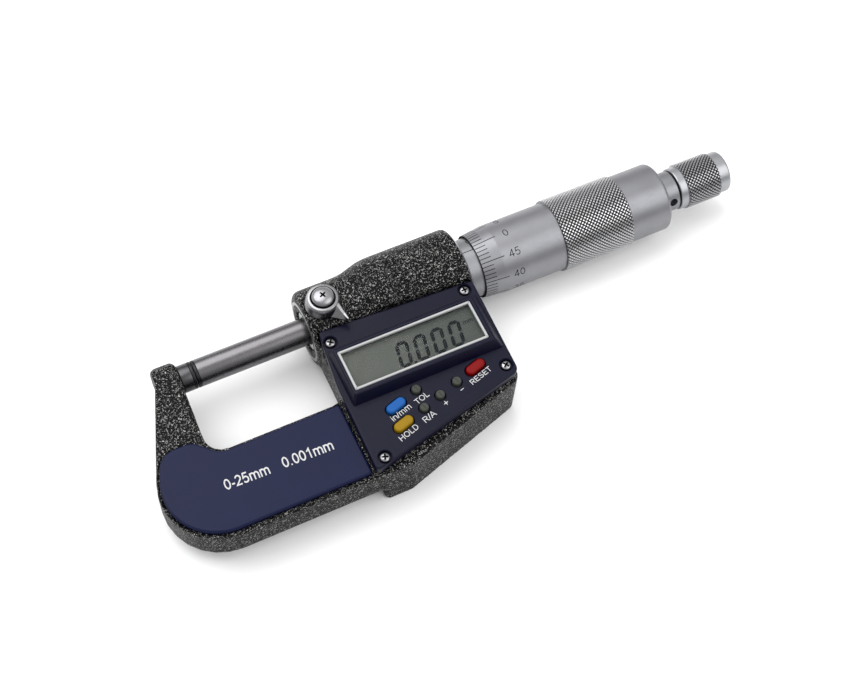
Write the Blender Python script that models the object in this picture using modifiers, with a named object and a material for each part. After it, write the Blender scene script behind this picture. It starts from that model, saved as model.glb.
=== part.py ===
"""Digital outside micrometer, 0-25 mm, as an assembly of its separate pieces.

The design frame has its X axis along the spindle, from the anvil to the ratchet, +Z out of the
display side and +Y away from the bow. X = 0 lies between the two measuring faces. An empty moves
the whole model so that the middle of its box is over the world origin and its back rests on Z = 0.
Sizes are in millimetres, and MM turns them into Blender's metres.
"""

import math

import bmesh
import bpy
from mathutils import Matrix, Vector

MM = 0.001

# Gaps between pieces that touch on the real object.
GAP = 0.3
FINE_GAP = 0.12
THROUGH = 40.0  # length of a cutter that goes right through

# Spindle line.
SPINDLE_RADIUS = 3.25
THREAD_RADIUS = 3.5
THREAD_START_X = 60.3
THREAD_END_X = 106.0
SPINDLE_TRAVEL = 25.1
TIP_LENGTH = 0.6
ANVIL_FACE_X = -0.75
SPINDLE_FACE_X = ANVIL_FACE_X + 0.2
SPINDLE_END_X = 119.5
ANVIL_SHANK_RADIUS = 2.5

# Bow and anvil arm.
ARM_INNER_X = -4.1
ARM_OUTER_X = -9.9
ARM_TOP_Y = 2.4
ARM_SLOPE = math.radians(20)
BOW_HALF_THICKNESS = 4.5
BOW_BOTTOM_Y = -42.0
BOW_CORNER_RADIUS = 13.6
THROAT_Y = -22.0
THROAT_RIGHT_X = 27.1
HEAD_RADIUS = 4.55

# Housing for the electronics, cast with the bow.
BACK_Z = -9.5
HOUSING_TOP_Z = 5.2
HOUSING_LEFT_X = THROAT_RIGHT_X + 0.05
HOUSING_RIGHT_X = 65.6
HOUSING_BOTTOM_Y = -42.5
DIAGONAL_START_X = 35.0
DIAGONAL_END_Y = -33.1
REAR_BOX_LEFT_X = 28.4

# Barrel around the spindle, cast with the housing.
BARREL_LEFT_X = 26.7
BARREL_FILLET = 1.9
BARREL_RIGHT_X = 66.2
BARREL_SMALL_RADIUS = 9.45
BARREL_LARGE_RADIUS = 11.1
FLARE_START_X = 37.5
FLARE_END_X = 46.0
BUSH_BORE_RADIUS = 4.9
BUSH_BORE_END_X = 42.8
ENCODER_BORE_RADIUS = 7.2
SLEEVE_BORE_RADIUS = 7.55
ENCODER_BORE_START_X = 44.6
SLEEVE_BORE_START_X = 60.2

# Encoder. Its key stays in the spindle's keyway over the whole travel.
STATOR_START_X = 45.2
STATOR_END_X = 46.4
ROTOR_START_X = 46.7
ROTOR_DISC_END_X = 48.0
ROTOR_END_X = 53.5
ROTOR_TUBE_RADIUS = 4.9
KEY_HALF_WIDTH = 0.35
KEY_START_X = 51.8
KEY_END_X = 53.3
KEYWAY_HALF_WIDTH = 0.6
KEYWAY_START_X = KEY_START_X - SPINDLE_TRAVEL - 0.1
KEYWAY_END_X = 54.0

# Cover and display.
COVER_BOTTOM_Z = HOUSING_TOP_Z + GAP
COVER_TOP_Z = 8.0
MESA_TOP_Z = 11.0
KEY_RECESS_Z = 6.7
DISPLAY_LEFT_X = 29.1
DISPLAY_RIGHT_X = 61.9
DISPLAY_TOP_Y = -13.35
DISPLAY_BOTTOM_Y = -23.6
BEZEL_LINE = 0.45
BEZEL_BOTTOM_Z = 10.4
SCREW_SEAT_Z = 6.9
MESA_BASE = (27.6, 64.9, -25.9, -11.1)  # left, right, bottom and top side
MESA_TOP = (28.5, 62.9, -24.5, -12.5)
LCD_BOTTOM_Z = 8.0
LCD_TOP_Z = 9.7

# Keys: name, x, y, length, width, colour name. Round keys have length = width.
KEY_ANGLE = math.radians(16.5)
KEY_TOP_Z = 8.9
KEY_FLANGE = 0.45
KEY_FLANGE_BOTTOM_Z = 6.0
KEYS = [
    ("unit_button", 36.2, -29.5, 5.0, 2.3, "blue_key"),
    ("hold_button", 35.9, -34.2, 5.0, 2.3, "yellow_key"),
    ("reset_button", 56.5, -28.0, 5.0, 2.3, "red_key"),
    ("tolerance_button", 41.95, -27.7, 2.1, 2.1, "grey_key"),
    ("relative_button", 41.7, -32.5, 2.1, 2.1, "grey_key"),
    ("plus_button", 46.3, -31.1, 2.1, 2.1, "grey_key"),
    ("minus_button", 51.1, -29.6, 2.1, 2.1, "grey_key"),
]

COVER_SCREWS = [(29.4, -8.9), (63.1, -8.9), (63.2, -30.2), (28.9, -39.6)]
SCREW_HEAD_RADIUS = 1.25
SCREW_SHANK_RADIUS = 0.75

# Grip plates, in shallow pockets on both faces of the bow.
GRIP_POCKET = 0.6
GRIP_OUTER_Z = 5.4
GRIP_INNER_Z = BOW_HALF_THICKNESS - GRIP_POCKET + GAP

# Spindle lock.
LOCK_X = 31.5
LOCK_SEAT_Z = 9.15
LOCK_HUB_RADIUS = 4.15
LOCK_HUB_TOP_Z = 12.7
LOCK_RECESS_RADIUS = 2.75
LOCK_RECESS_Z = 12.0
LOCK_SCREW_RADIUS = 2.6
LOCK_REACH = 7.5
LOCK_ANGLE = math.radians(-62)
LOCK_PIN_RADIUS = 1.5

# Electronics under the keys and the display.
BOARD_BOTTOM_Z = 2.9
BOARD_TOP_Z = 4.1
CHIP_TOP_Z = BOARD_BOTTOM_Z - GAP

# Battery.
BATTERY_X = 48.0
BATTERY_Y = -23.5
BATTERY_RADIUS = 5.8
BATTERY_BOTTOM_Z = -7.2
BATTERY_TOP_Z = -1.8
BATTERY_CAP_RADIUS = 6.6
BATTERY_CAP_LEDGE_Z = -8.5
CONTACT_BOTTOM_Z = BATTERY_TOP_Z + GAP

# Sleeve, thimble and ratchet.
SLEEVE_RADIUS = 7.25
SLEEVE_START_X = 60.5
SET_SCREW_X = 58.6
SLEEVE_END_X = 97.5
INNER_SLEEVE_END_X = 103.0
THIMBLE_START_X = 70.0
THIMBLE_BEVEL_END_X = 75.3
THIMBLE_RIM_RADIUS = 7.8
THIMBLE_BORE_RADIUS = 7.55
THIMBLE_RADIUS = 8.45
KNURL_RADIUS = 9.0
KNURL_START_X = 91.2
KNURL_END_X = 109.2
THIMBLE_BORE_END_X = 113.4
THIMBLE_END_X = 120.2
RATCHET_RING_RADIUS = 4.9
RATCHET_RING_END_X = 124.5
RATCHET_STEM_END_X = 135.2
SPANNER_HOLE_X = 122.6
SPANNER_HOLE_ANGLE = math.radians(158)
KNOB_START_X = 124.8
KNOB_COLLAR_END_X = 126.4
KNOB_KNURL_END_X = 135.8
KNOB_END_X = 138.9
KNOB_COLLAR_RADIUS = 5.25
KNOB_KNURL_RADIUS = 5.65
KNOB_END_RADIUS = 5.15
KNOB_INNER_RADIUS = 3.9

COLOURS = {
    # name: (red, green, blue, roughness, metallic)
    "black_paint": (0.03, 0.03, 0.032, 0.5, 0.0),
    "navy_plastic": (0.03, 0.032, 0.1, 0.35, 0.0),
    "dark_navy": (0.02, 0.02, 0.045, 0.35, 0.0),
    "ground_steel": (0.25, 0.25, 0.26, 0.3, 1.0),
    "carbide": (0.12, 0.12, 0.13, 0.35, 1.0),
    "satin_chrome": (0.6, 0.61, 0.64, 0.38, 1.0),
    "polished_steel": (0.7, 0.7, 0.72, 0.18, 1.0),
    "brass": (0.7, 0.5, 0.22, 0.3, 1.0),
    "blue_key": (0.04, 0.2, 0.6, 0.4, 0.0),
    "yellow_key": (0.6, 0.38, 0.02, 0.4, 0.0),
    "red_key": (0.45, 0.01, 0.01, 0.4, 0.0),
    "grey_key": (0.12, 0.13, 0.1, 0.5, 0.0),
    "lcd_glass": (0.16, 0.19, 0.16, 0.2, 0.0),
    "clear_window": (0.8, 0.85, 0.85, 0.05, 0.0),
    "white_line": (0.8, 0.8, 0.8, 0.4, 0.0),
    "board_green": (0.02, 0.15, 0.06, 0.5, 0.0),
    "black_rubber": (0.02, 0.02, 0.02, 0.7, 0.0),
    "amber_film": (0.45, 0.22, 0.05, 0.4, 0.0),
}


# ---------------------------------------------------------------- scene helpers


def clear_scene():
    for obj in list(bpy.data.objects):
        bpy.data.objects.remove(obj, do_unlink=True)


def add_collection(name):
    collection = bpy.data.collections.new(name)
    bpy.context.scene.collection.children.link(collection)
    return collection


def add_origin():
    """The empty that sets the middle of the model's box over the world origin, its back on Z = 0."""
    origin = bpy.data.objects.new("design_origin", None)
    left = min(x for x, _ in bow_outline())
    origin.location = (
        -MM * (left + KNOB_END_X) / 2,
        -MM * (HOUSING_BOTTOM_Y + BARREL_LARGE_RADIUS) / 2,
        -MM * BACK_Z,
    )
    bpy.context.scene.collection.objects.link(origin)
    return origin


def make_material(name):
    found = bpy.data.materials.get(name)
    if found:
        return found
    red, green, blue, roughness, metallic = COLOURS[name]
    made = bpy.data.materials.new(name)
    made.use_nodes = True
    shader = made.node_tree.nodes["Principled BSDF"]
    shader.inputs["Base Color"].default_value = (red, green, blue, 1)
    shader.inputs["Roughness"].default_value = roughness
    shader.inputs["Metallic"].default_value = metallic
    return made


def add_object(name, mesh, colour):
    """Links a mesh as a part, or as a hidden cutter when it has no colour."""
    obj = bpy.data.objects.new(name, mesh)
    obj.parent = ORIGIN
    if colour:
        PARTS.objects.link(obj)
        mesh.materials.clear()
        mesh.materials.append(make_material(colour))
    else:
        CUTTERS.objects.link(obj)
        obj.hide_render = True
        obj.display_type = "WIRE"
    return obj


# Each turns a shape's own Z axis to the axis that it is made along.
TURN_TO = {
    "X": (math.radians(90), 0, math.radians(90)),
    "Y": (math.radians(-90), 0, 0),
    "Z": (0, 0, 0),
}


def turned(name, outer, colour, inner=(), axis="X", centre=(0, 0, 0), steps=32):
    """A turned piece. outer and inner list (station, radius), with rising stations."""
    obj_mesh = bpy.data.meshes.new(name)
    profile = [(radius, station) for station, radius in reversed(outer)]
    if inner:
        profile += [(radius, station) for station, radius in inner]
    else:
        profile = [(0, outer[-1][0])] + profile + [(0, outer[0][0])]
    points = [(MM * radius, 0, MM * station) for radius, station in profile]
    edges = [(i, i + 1) for i in range(len(points) - 1)]
    if inner:
        edges.append((len(points) - 1, 0))
    obj_mesh.from_pydata(points, edges, [])
    obj = add_object(name, obj_mesh, colour)
    obj.rotation_euler = TURN_TO[axis]
    obj.location = Vector(centre) * MM
    screw = obj.modifiers.new("turn", "SCREW")
    screw.axis = "Z"
    screw.steps = steps
    screw.render_steps = steps
    screw.use_merge_vertices = True
    screw.merge_threshold = 1e-6
    screw.use_smooth_shade = False
    return obj


def mesh_of_curve(curve_obj, name):
    """The mesh of a curve, with its caps welded on and its flat faces made whole."""
    bpy.context.view_layer.update()
    graph = bpy.context.evaluated_depsgraph_get()
    mesh = bpy.data.meshes.new_from_object(curve_obj.evaluated_get(graph))
    mesh.name = name
    shape = bmesh.new()
    shape.from_mesh(mesh)
    bmesh.ops.remove_doubles(shape, verts=shape.verts, dist=1e-7)
    bmesh.ops.dissolve_limit(shape, angle_limit=0.002, verts=shape.verts, edges=shape.edges)
    bmesh.ops.recalc_face_normals(shape, faces=shape.faces)
    shape.to_mesh(mesh)
    shape.free()
    bpy.data.objects.remove(curve_obj, do_unlink=True)
    return mesh


# Each takes an outline's own (u, v, w) to (x, y, z), with w along the named axis.
PLATE_TURN = {
    "X": Matrix(((0, 0, 1), (1, 0, 0), (0, 1, 0))),
    "Y": Matrix(((0, 1, 0), (0, 0, 1), (1, 0, 0))),
    "Z": Matrix.Identity(3),
}


def plate(name, outline, low, high, colour, axis="Z"):
    """An outline with thickness from low to high, along an axis.

    The outline's points are (x, y) along Z, (y, z) along X and (z, x) along Y.
    """
    curve = bpy.data.curves.new(name, "CURVE")
    curve.dimensions = "2D"
    curve.fill_mode = "BOTH"
    curve.extrude = MM * (high - low) / 2
    spline = curve.splines.new("POLY")
    spline.points.add(len(outline) - 1)
    for point, (u, v) in zip(spline.points, outline):
        point.co = (MM * u, MM * v, 0, 1)
    spline.use_cyclic_u = True
    guide = bpy.data.objects.new(name + "_curve", curve)
    bpy.context.scene.collection.objects.link(guide)
    mesh = mesh_of_curve(guide, name)
    mesh.transform(Matrix.Translation((0, 0, MM * (low + high) / 2)))
    mesh.transform(PLATE_TURN[axis].to_4x4())
    return add_object(name, mesh, colour)


def rounded(corners, step=math.radians(15)):
    """An outline through (x, y, radius) corners, with an arc at each corner that has a radius."""
    points = []
    for i, (x, y, radius) in enumerate(corners):
        corner = Vector((x, y))
        before = (Vector(corners[i - 1][:2]) - corner).normalized()
        after = (Vector(corners[(i + 1) % len(corners)][:2]) - corner).normalized()
        if not radius:
            points.append((x, y))
            continue
        half = before.angle(after) / 2
        centre = corner + (before + after).normalized() * radius / math.sin(half)
        first = corner + before * radius / math.tan(half) - centre
        turn = first.angle_signed(corner + after * radius / math.tan(half) - centre)
        count = max(2, math.ceil(abs(turn) / step))
        for k in range(count + 1):
            # angle_signed is clockwise, and a rotation matrix turns anticlockwise.
            points.append(tuple(centre + Matrix.Rotation(-turn * k / count, 2) @ first))
    return points


def rectangle(left, right, bottom, top, radius=0):
    corners = [(left, bottom), (right, bottom), (right, top), (left, top)]
    return rounded([(x, y, radius) for x, y in corners])


def stadium(x, y, length, width, angle, steps=6):
    """A bar with round ends, turned by angle about its middle."""
    points = []
    for side in (1, -1):
        for k in range(steps + 1):
            around = math.pi * (k / steps - 0.5)
            across = side * ((length - width) / 2 + math.cos(around) * width / 2)
            upward = side * math.sin(around) * width / 2
            turned_point = Matrix.Rotation(angle, 2) @ Vector((across, upward))
            points.append((x + turned_point.x, y + turned_point.y))
    return points


def block(name, low, high, colour=None):
    return plate(name, rectangle(low[0], high[0], low[1], high[1]), low[2], high[2], colour)


def frustum(name, base, top, low, high, colour=None):
    """A four-sided block. Its (left, right, bottom, top) sides are base at low and top at high."""
    shape = bmesh.new()
    bmesh.ops.create_cube(shape, size=2)
    for vert in shape.verts:
        left, right, bottom, upper = top if vert.co.z > 0 else base
        vert.co = Vector((right if vert.co.x > 0 else left, upper if vert.co.y > 0 else bottom,
                          high if vert.co.z > 0 else low)) * MM
    mesh = bpy.data.meshes.new(name)
    shape.to_mesh(mesh)
    shape.free()
    return add_object(name, mesh, colour)


def boolean(obj, other, operation):
    modifier = obj.modifiers.new(operation.lower() + "_" + other.name, "BOOLEAN")
    modifier.operation = operation
    modifier.object = other
    modifier.solver = "EXACT"


def cut(obj, *cutters):
    for cutter in cutters:
        boolean(obj, cutter, "DIFFERENCE")


def join(obj, *others):
    for other in others:
        boolean(obj, other, "UNION")


def bevel(obj, width, segments=1):
    modifier = obj.modifiers.new("edges", "BEVEL")
    modifier.width = MM * width
    modifier.segments = segments
    modifier.limit_method = "ANGLE"
    modifier.angle_limit = math.radians(40)


def coil(name, start_x, end_x, mean_radius, wire_radius, turns, colour, points_per_turn=12):
    """A helical spring about the spindle line."""
    curve = bpy.data.curves.new(name, "CURVE")
    curve.dimensions = "3D"
    curve.bevel_depth = MM * wire_radius
    curve.bevel_resolution = 0
    curve.use_fill_caps = True
    spline = curve.splines.new("POLY")
    count = turns * points_per_turn
    spline.points.add(count)
    for k, point in enumerate(spline.points):
        around = 2 * math.pi * k / points_per_turn
        station = start_x + (end_x - start_x) * k / count
        point.co = (
            MM * station,
            MM * mean_radius * math.cos(around),
            MM * mean_radius * math.sin(around),
            1,
        )
    guide = bpy.data.objects.new(name + "_curve", curve)
    bpy.context.scene.collection.objects.link(guide)
    return add_object(name, mesh_of_curve(guide, name), colour)


def hole(name, radius, low, high, x, y, steps=20):
    """A round cutter along Z."""
    outer = [(low, radius), (high, radius)]
    return turned(name, outer, None, axis="Z", centre=(x, y, 0), steps=steps)


# ---------------------------------------------------------------- outlines


def bow_outline():
    drop = BOW_BOTTOM_Y + 0.6
    corner_x = ARM_OUTER_X + drop * math.tan(ARM_SLOPE)
    return rounded([
        (ARM_INNER_X, ARM_TOP_Y, 0.8),
        (ARM_OUTER_X, ARM_TOP_Y, 1.0),
        (ARM_OUTER_X, -0.6, 2.0),
        (corner_x, BOW_BOTTOM_Y, BOW_CORNER_RADIUS),
        (32, BOW_BOTTOM_Y, 0),
        (32, -16, 0),
        (THROAT_RIGHT_X, -16, 0),
        (THROAT_RIGHT_X, THROAT_Y, 2.8),
        (-5.2, THROAT_Y, 4.2),
    ])


def grip_outline(grow=0.0):
    """The grip plate follows the bow's edge, and rises over the foot of the arm in a round hump."""
    inset = 0.8 - grow
    bottom = BOW_BOTTOM_Y + 1.1 - grow
    hump_y = -17.9 + grow
    slope = math.tan(ARM_SLOPE)

    def left_x(y):
        return ARM_OUTER_X + (y + 0.6) * slope + inset / math.cos(ARM_SLOPE)

    return rounded([
        (25.5 + grow, bottom, 0.8),
        (25.5 + grow, -22.7 + grow, 0.8),
        (-3.0, -22.7 + grow, 4.0),
        (-7.8, hump_y, 4.0),
        (left_x(hump_y), hump_y, 5.0),
        (left_x(bottom), bottom, BOW_CORNER_RADIUS - 1.0),
    ])


def housing_outline(left_x):
    return rounded([
        (left_x, -3, 0),
        (left_x, HOUSING_BOTTOM_Y, 1.2),
        (DIAGONAL_START_X, HOUSING_BOTTOM_Y, 2.0),
        (HOUSING_RIGHT_X, DIAGONAL_END_Y, 2.2),
        (HOUSING_RIGHT_X, -3, 0),
    ])


def pocket_outline(inset=0.0):
    """The hollow for the electronics, with its corners cut off around the cover screws."""
    return rounded([
        (28.4 + inset, -12.2 - inset, 0.5),
        (28.4 + inset, -36.2 + inset, 0.5),
        (32.6 + inset, -38.5 + inset, 0.5),
        (36.0, -38.8 + inset, 0.5),
        (58.6 - inset, -32.0 + inset, 0.5),
        (63.8 - inset, -26.4 + inset, 0.5),
        (63.8 - inset, -12.2 - inset, 0.5),
        (60.0 - inset, -9.6 - inset, 0.5),
        (32.6 + inset, -9.6 - inset, 0.5),
    ])


def cover_outline(grow=0.0):
    return rounded([
        (28.0 - grow, -5.4 + grow, 0.6),
        (26.3 - grow, -20.0, 0),
        (26.0 - grow, -42.05 - grow, 1.0),
        (65.3 + grow, -32.6 - grow, 2.0),
        (65.85 + grow, -7.2 + grow, 0.5),
    ])


# ---------------------------------------------------------------- frame


def make_frame():
    back = -BOW_HALF_THICKNESS
    frame = plate("frame", bow_outline(), back, BOW_HALF_THICKNESS, "black_paint")
    head = turned("arm_head", [
        (ARM_OUTER_X, 3.9), (ARM_OUTER_X + 0.9, HEAD_RADIUS),
        (ARM_INNER_X - 0.8, HEAD_RADIUS), (ARM_INNER_X, 3.9),
    ], None)
    housing = plate("housing_front", housing_outline(HOUSING_LEFT_X), back, HOUSING_TOP_Z, None)
    rear_box = plate("housing_rear", housing_outline(REAR_BOX_LEFT_X), BACK_Z, 0, None)
    flare = [
        (FLARE_START_X + (FLARE_END_X - FLARE_START_X) * k / 4,
         BARREL_SMALL_RADIUS
         + (BARREL_LARGE_RADIUS - BARREL_SMALL_RADIUS) * (1 - math.cos(math.pi * k / 4)) / 2)
        for k in range(5)
    ]
    shoulder = [
        (BARREL_LEFT_X + BARREL_FILLET * (1 - math.cos(math.pi * k / 8)),
         BARREL_SMALL_RADIUS - BARREL_FILLET * (1 - math.sin(math.pi * k / 8)))
        for k in range(5)
    ]
    barrel = turned("barrel", [
        *shoulder, *flare,
        (BARREL_RIGHT_X - 0.5, BARREL_LARGE_RADIUS), (BARREL_RIGHT_X, BARREL_LARGE_RADIUS - 0.5),
    ], None)
    join(frame, head, housing, rear_box, barrel)
    cut(frame, *frame_cutters())
    return frame


def frame_cutters():
    floor_z = BOW_HALF_THICKNESS - GRIP_POCKET
    cutters = [
        block("below_back", (0, -60, BACK_Z - 10), (90, 30, BACK_Z)),
        plate("cover_seat", cover_outline(GAP), HOUSING_TOP_Z - 0.05, 20, None),
        plate("electronics_pocket", pocket_outline(), -8, 10, None),
        plate("front_grip_pocket", grip_outline(GAP), floor_z, 10, None),
        plate("rear_grip_pocket", grip_outline(GAP), -10, -floor_z, None),
        turned("anvil_bore", [(-8.7, 2.8), (0, 2.8)], None, steps=32),
        turned("main_bore", [
            (20, BUSH_BORE_RADIUS), (BUSH_BORE_END_X, BUSH_BORE_RADIUS), (BUSH_BORE_END_X, 3.7),
            (ENCODER_BORE_START_X, 3.7), (ENCODER_BORE_START_X, ENCODER_BORE_RADIUS),
            (SLEEVE_BORE_START_X, ENCODER_BORE_RADIUS), (SLEEVE_BORE_START_X, SLEEVE_BORE_RADIUS),
            (70, SLEEVE_BORE_RADIUS),
        ], None),
        block("flex_slot", (45.0, -11, -0.9), (48.2, -5, 0.9)),
        turned("lock_bore", [
            (1.0, LOCK_PIN_RADIUS + GAP), (LOCK_SEAT_Z, LOCK_PIN_RADIUS + GAP),
            (LOCK_SEAT_Z, LOCK_HUB_RADIUS + 1.2), (20, LOCK_HUB_RADIUS + 1.2),
        ], None, axis="Z", centre=(LOCK_X, 0, 0), steps=28),
        hole("battery_bore", BATTERY_CAP_RADIUS + GAP, -12, -7, BATTERY_X, BATTERY_Y, steps=40),
        turned("set_screw_bore", [(5, 1.3), (20, 1.3)], None, axis="Y",
               centre=(SET_SCREW_X, 0, 0), steps=16),
    ]
    for number, (x, y) in enumerate(COVER_SCREWS, 1):
        cutters.append(hole(f"screw_bore_{number}", SCREW_SHANK_RADIUS + GAP, 1.0, 20, x, y, 16))
    return cutters


# ---------------------------------------------------------------- spindle line


def make_anvil():
    shoulder_x = ARM_INNER_X + FINE_GAP
    turned("anvil", [
        (-8.4, ANVIL_SHANK_RADIUS), (shoulder_x, ANVIL_SHANK_RADIUS), (shoulder_x, SPINDLE_RADIUS),
        (ANVIL_FACE_X - TIP_LENGTH - FINE_GAP, SPINDLE_RADIUS),
    ], "ground_steel", steps=28)
    turned("anvil_tip", [
        (ANVIL_FACE_X - TIP_LENGTH, SPINDLE_RADIUS), (ANVIL_FACE_X - 0.1, SPINDLE_RADIUS),
        (ANVIL_FACE_X, SPINDLE_RADIUS - 0.1),
    ], "carbide", steps=28)


def make_spindle():
    """One bar: ground through the bush, threaded in the inner sleeve, bored for the ratchet."""
    tip_end = SPINDLE_FACE_X + TIP_LENGTH
    turned("spindle_tip", [
        (SPINDLE_FACE_X, SPINDLE_RADIUS - 0.1), (SPINDLE_FACE_X + 0.1, SPINDLE_RADIUS),
        (tip_end, SPINDLE_RADIUS),
    ], "carbide", steps=28)
    spindle = turned("spindle", [
        (tip_end + FINE_GAP, SPINDLE_RADIUS), (THREAD_START_X - 0.3, SPINDLE_RADIUS),
        (THREAD_START_X, THREAD_RADIUS), (THREAD_END_X, THREAD_RADIUS),
        (THREAD_END_X + 0.3, SPINDLE_RADIUS), (SPINDLE_END_X, SPINDLE_RADIUS),
    ], "ground_steel", steps=28)
    keyway = block("keyway", (KEYWAY_START_X, -KEYWAY_HALF_WIDTH, -6),
                   (KEYWAY_END_X, KEYWAY_HALF_WIDTH, -2.5))
    tail_bore = turned("tail_bore", [(110, 2.0), (125, 2.0)], None, steps=24)
    cut(spindle, keyway, tail_bore)


def make_guide_bush():
    start, end = BARREL_LEFT_X + 0.5, BUSH_BORE_END_X - GAP
    outer, inner = BUSH_BORE_RADIUS - GAP, SPINDLE_RADIUS + 0.2
    bush = turned("guide_bush", [(start, outer), (end, outer)], "ground_steel",
                  inner=[(start, inner), (end, inner)], steps=24)
    cut(bush, hole("bush_side_hole", LOCK_PIN_RADIUS + GAP, 0, 10, LOCK_X, 0))


def make_encoder():
    """A capacitive rotary encoder: the stator is fixed, and the rotor is keyed to the spindle."""
    plate_radius, bore = 6.9, 3.9
    turned("encoder_stator", [(STATOR_START_X, plate_radius), (STATOR_END_X, plate_radius)],
           "board_green", inner=[(STATOR_START_X, bore), (STATOR_END_X, bore)])
    rotor = turned("encoder_rotor", [
        (ROTOR_START_X, 6.7), (ROTOR_DISC_END_X, 6.7), (ROTOR_DISC_END_X, ROTOR_TUBE_RADIUS),
        (ROTOR_END_X, ROTOR_TUBE_RADIUS),
    ], "brass", inner=[(ROTOR_START_X, 3.6), (ROTOR_END_X, 3.6)])
    cut(rotor, block("rotor_key_slot", (KEY_START_X - 0.5, -0.9, -8), (56, 0.9, 0)))
    block("rotor_key", (KEY_START_X, -KEY_HALF_WIDTH, -4.5), (KEY_END_X, KEY_HALF_WIDTH, -2.85),
          "ground_steel")
    coil("rotor_spring", 54.05, 55.0, 4.35, 0.2, 2, "polished_steel")
    turned("rotor_thrust_ring", [(55.4, plate_radius), (57.2, plate_radius)], "ground_steel",
           inner=[(55.4, bore), (57.2, bore)])
    # (y, z) section of the flexible lead: flat from the stator, then up through the board.
    plate("encoder_flex", [
        (-7.2, -0.15), (-13.0, -0.15), (-13.0, 2.5), (-12.7, 2.5), (-12.7, 0.15), (-7.2, 0.15),
    ], 45.4, 47.8, "amber_film", axis="X")


def make_sleeve():
    """The threaded inner sleeve is fixed in the barrel. The outer sleeve carries the datum line."""
    thread_bore = THREAD_RADIUS + GAP
    turned("inner_sleeve", [(57.5, 6.9), (59.9, 6.9), (59.9, 5.5), (INNER_SLEEVE_END_X, 5.5)], "brass",
           inner=[(57.5, thread_bore), (INNER_SLEEVE_END_X, thread_bore)])
    turned("sleeve", [(SLEEVE_START_X, SLEEVE_RADIUS), (SLEEVE_END_X, SLEEVE_RADIUS)], "satin_chrome",
           inner=[(SLEEVE_START_X, 5.8), (SLEEVE_END_X, 5.8)], steps=48)
    nut_start, nut_end = SLEEVE_END_X + 1.0, INNER_SLEEVE_END_X - 0.8
    nut = turned("adjusting_nut", [(nut_start, 6.8), (nut_end, 6.8)], "ground_steel",
                 inner=[(nut_start, 5.8), (nut_end, 5.8)])
    cut(nut, block("nut_spanner_slot", (nut_end - 1.2, -0.6, -10), (nut_end + 2, 0.6, 10)))
    turned("sleeve_set_screw", [(9.2, 1.0), (11.2, 1.0)], "polished_steel", axis="Y",
           centre=(SET_SCREW_X, 0, 0), steps=16)


def make_thimble():
    turned("thimble", [
        (THIMBLE_START_X, THIMBLE_RIM_RADIUS), (THIMBLE_BEVEL_END_X, THIMBLE_RADIUS),
        (KNURL_START_X, THIMBLE_RADIUS), (KNURL_START_X, KNURL_RADIUS - 0.15),
        (KNURL_START_X + 0.3, KNURL_RADIUS), (KNURL_END_X - 0.3, KNURL_RADIUS),
        (KNURL_END_X, KNURL_RADIUS - 0.15), (KNURL_END_X, THIMBLE_RADIUS),
        (THIMBLE_END_X - 0.9, THIMBLE_RADIUS), (THIMBLE_END_X - 0.25, THIMBLE_RADIUS - 0.3),
        (THIMBLE_END_X, THIMBLE_RADIUS - 0.9),
    ], "satin_chrome", inner=[
        (THIMBLE_START_X, THIMBLE_BORE_RADIUS), (THIMBLE_BORE_END_X, THIMBLE_BORE_RADIUS),
        (THIMBLE_BORE_END_X, SPINDLE_RADIUS + 0.2), (THIMBLE_END_X, SPINDLE_RADIUS + 0.2),
    ], steps=48)


def make_ratchet():
    """The ring screws into the spindle's tail and clamps the thimble. The knob slips on a disc."""
    ring_start = THIMBLE_END_X + GAP
    body = turned("ratchet_body", [
        (112, 1.7), (ring_start, 1.7), (ring_start, RATCHET_RING_RADIUS),
        (RATCHET_RING_END_X, RATCHET_RING_RADIUS), (RATCHET_RING_END_X, 1.6),
        (RATCHET_STEM_END_X, 1.6),
    ], "satin_chrome", steps=32)
    spanner_hole = turned("spanner_hole", [(3.0, 1.05), (8, 1.05)], None, axis="Y", steps=20)
    spanner_hole.location.x = MM * SPANNER_HOLE_X
    spanner_hole.rotation_euler = (SPANNER_HOLE_ANGLE - math.radians(90), 0, 0)
    thread_bore = turned("screw_thread_bore", [(130, 1.05), (140, 1.05)], None, steps=16)
    cut(body, spanner_hole, thread_bore)
    make_knob()
    teeth = 24
    rim = [
        (radius * math.cos(math.pi * (k + shift) / teeth), radius * math.sin(math.pi * (k + shift) / teeth))
        for k in range(0, 2 * teeth, 2)
        for radius, shift in ((3.55, 0), (3.2, 1.6))
    ]
    disc = plate("ratchet_disc", rim, 128.0, 129.4, "ground_steel", axis="X")
    cut(disc, turned("disc_bore", [(120, 1.9), (140, 1.9)], None, steps=24))
    coil("ratchet_spring", 130.0, 134.6, 2.6, 0.25, 4, "polished_steel")
    head_start = RATCHET_STEM_END_X + GAP
    end_screw = turned("ratchet_end_screw", [
        (131.0, 0.75), (head_start, 0.75), (head_start, 3.5), (137.6, 3.5), (138.1, 3.0),
    ], "polished_steel", steps=32)
    cut(end_screw, block("end_screw_slot", (137.2, -0.4, -6), (140, 0.4, 6)))


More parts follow.
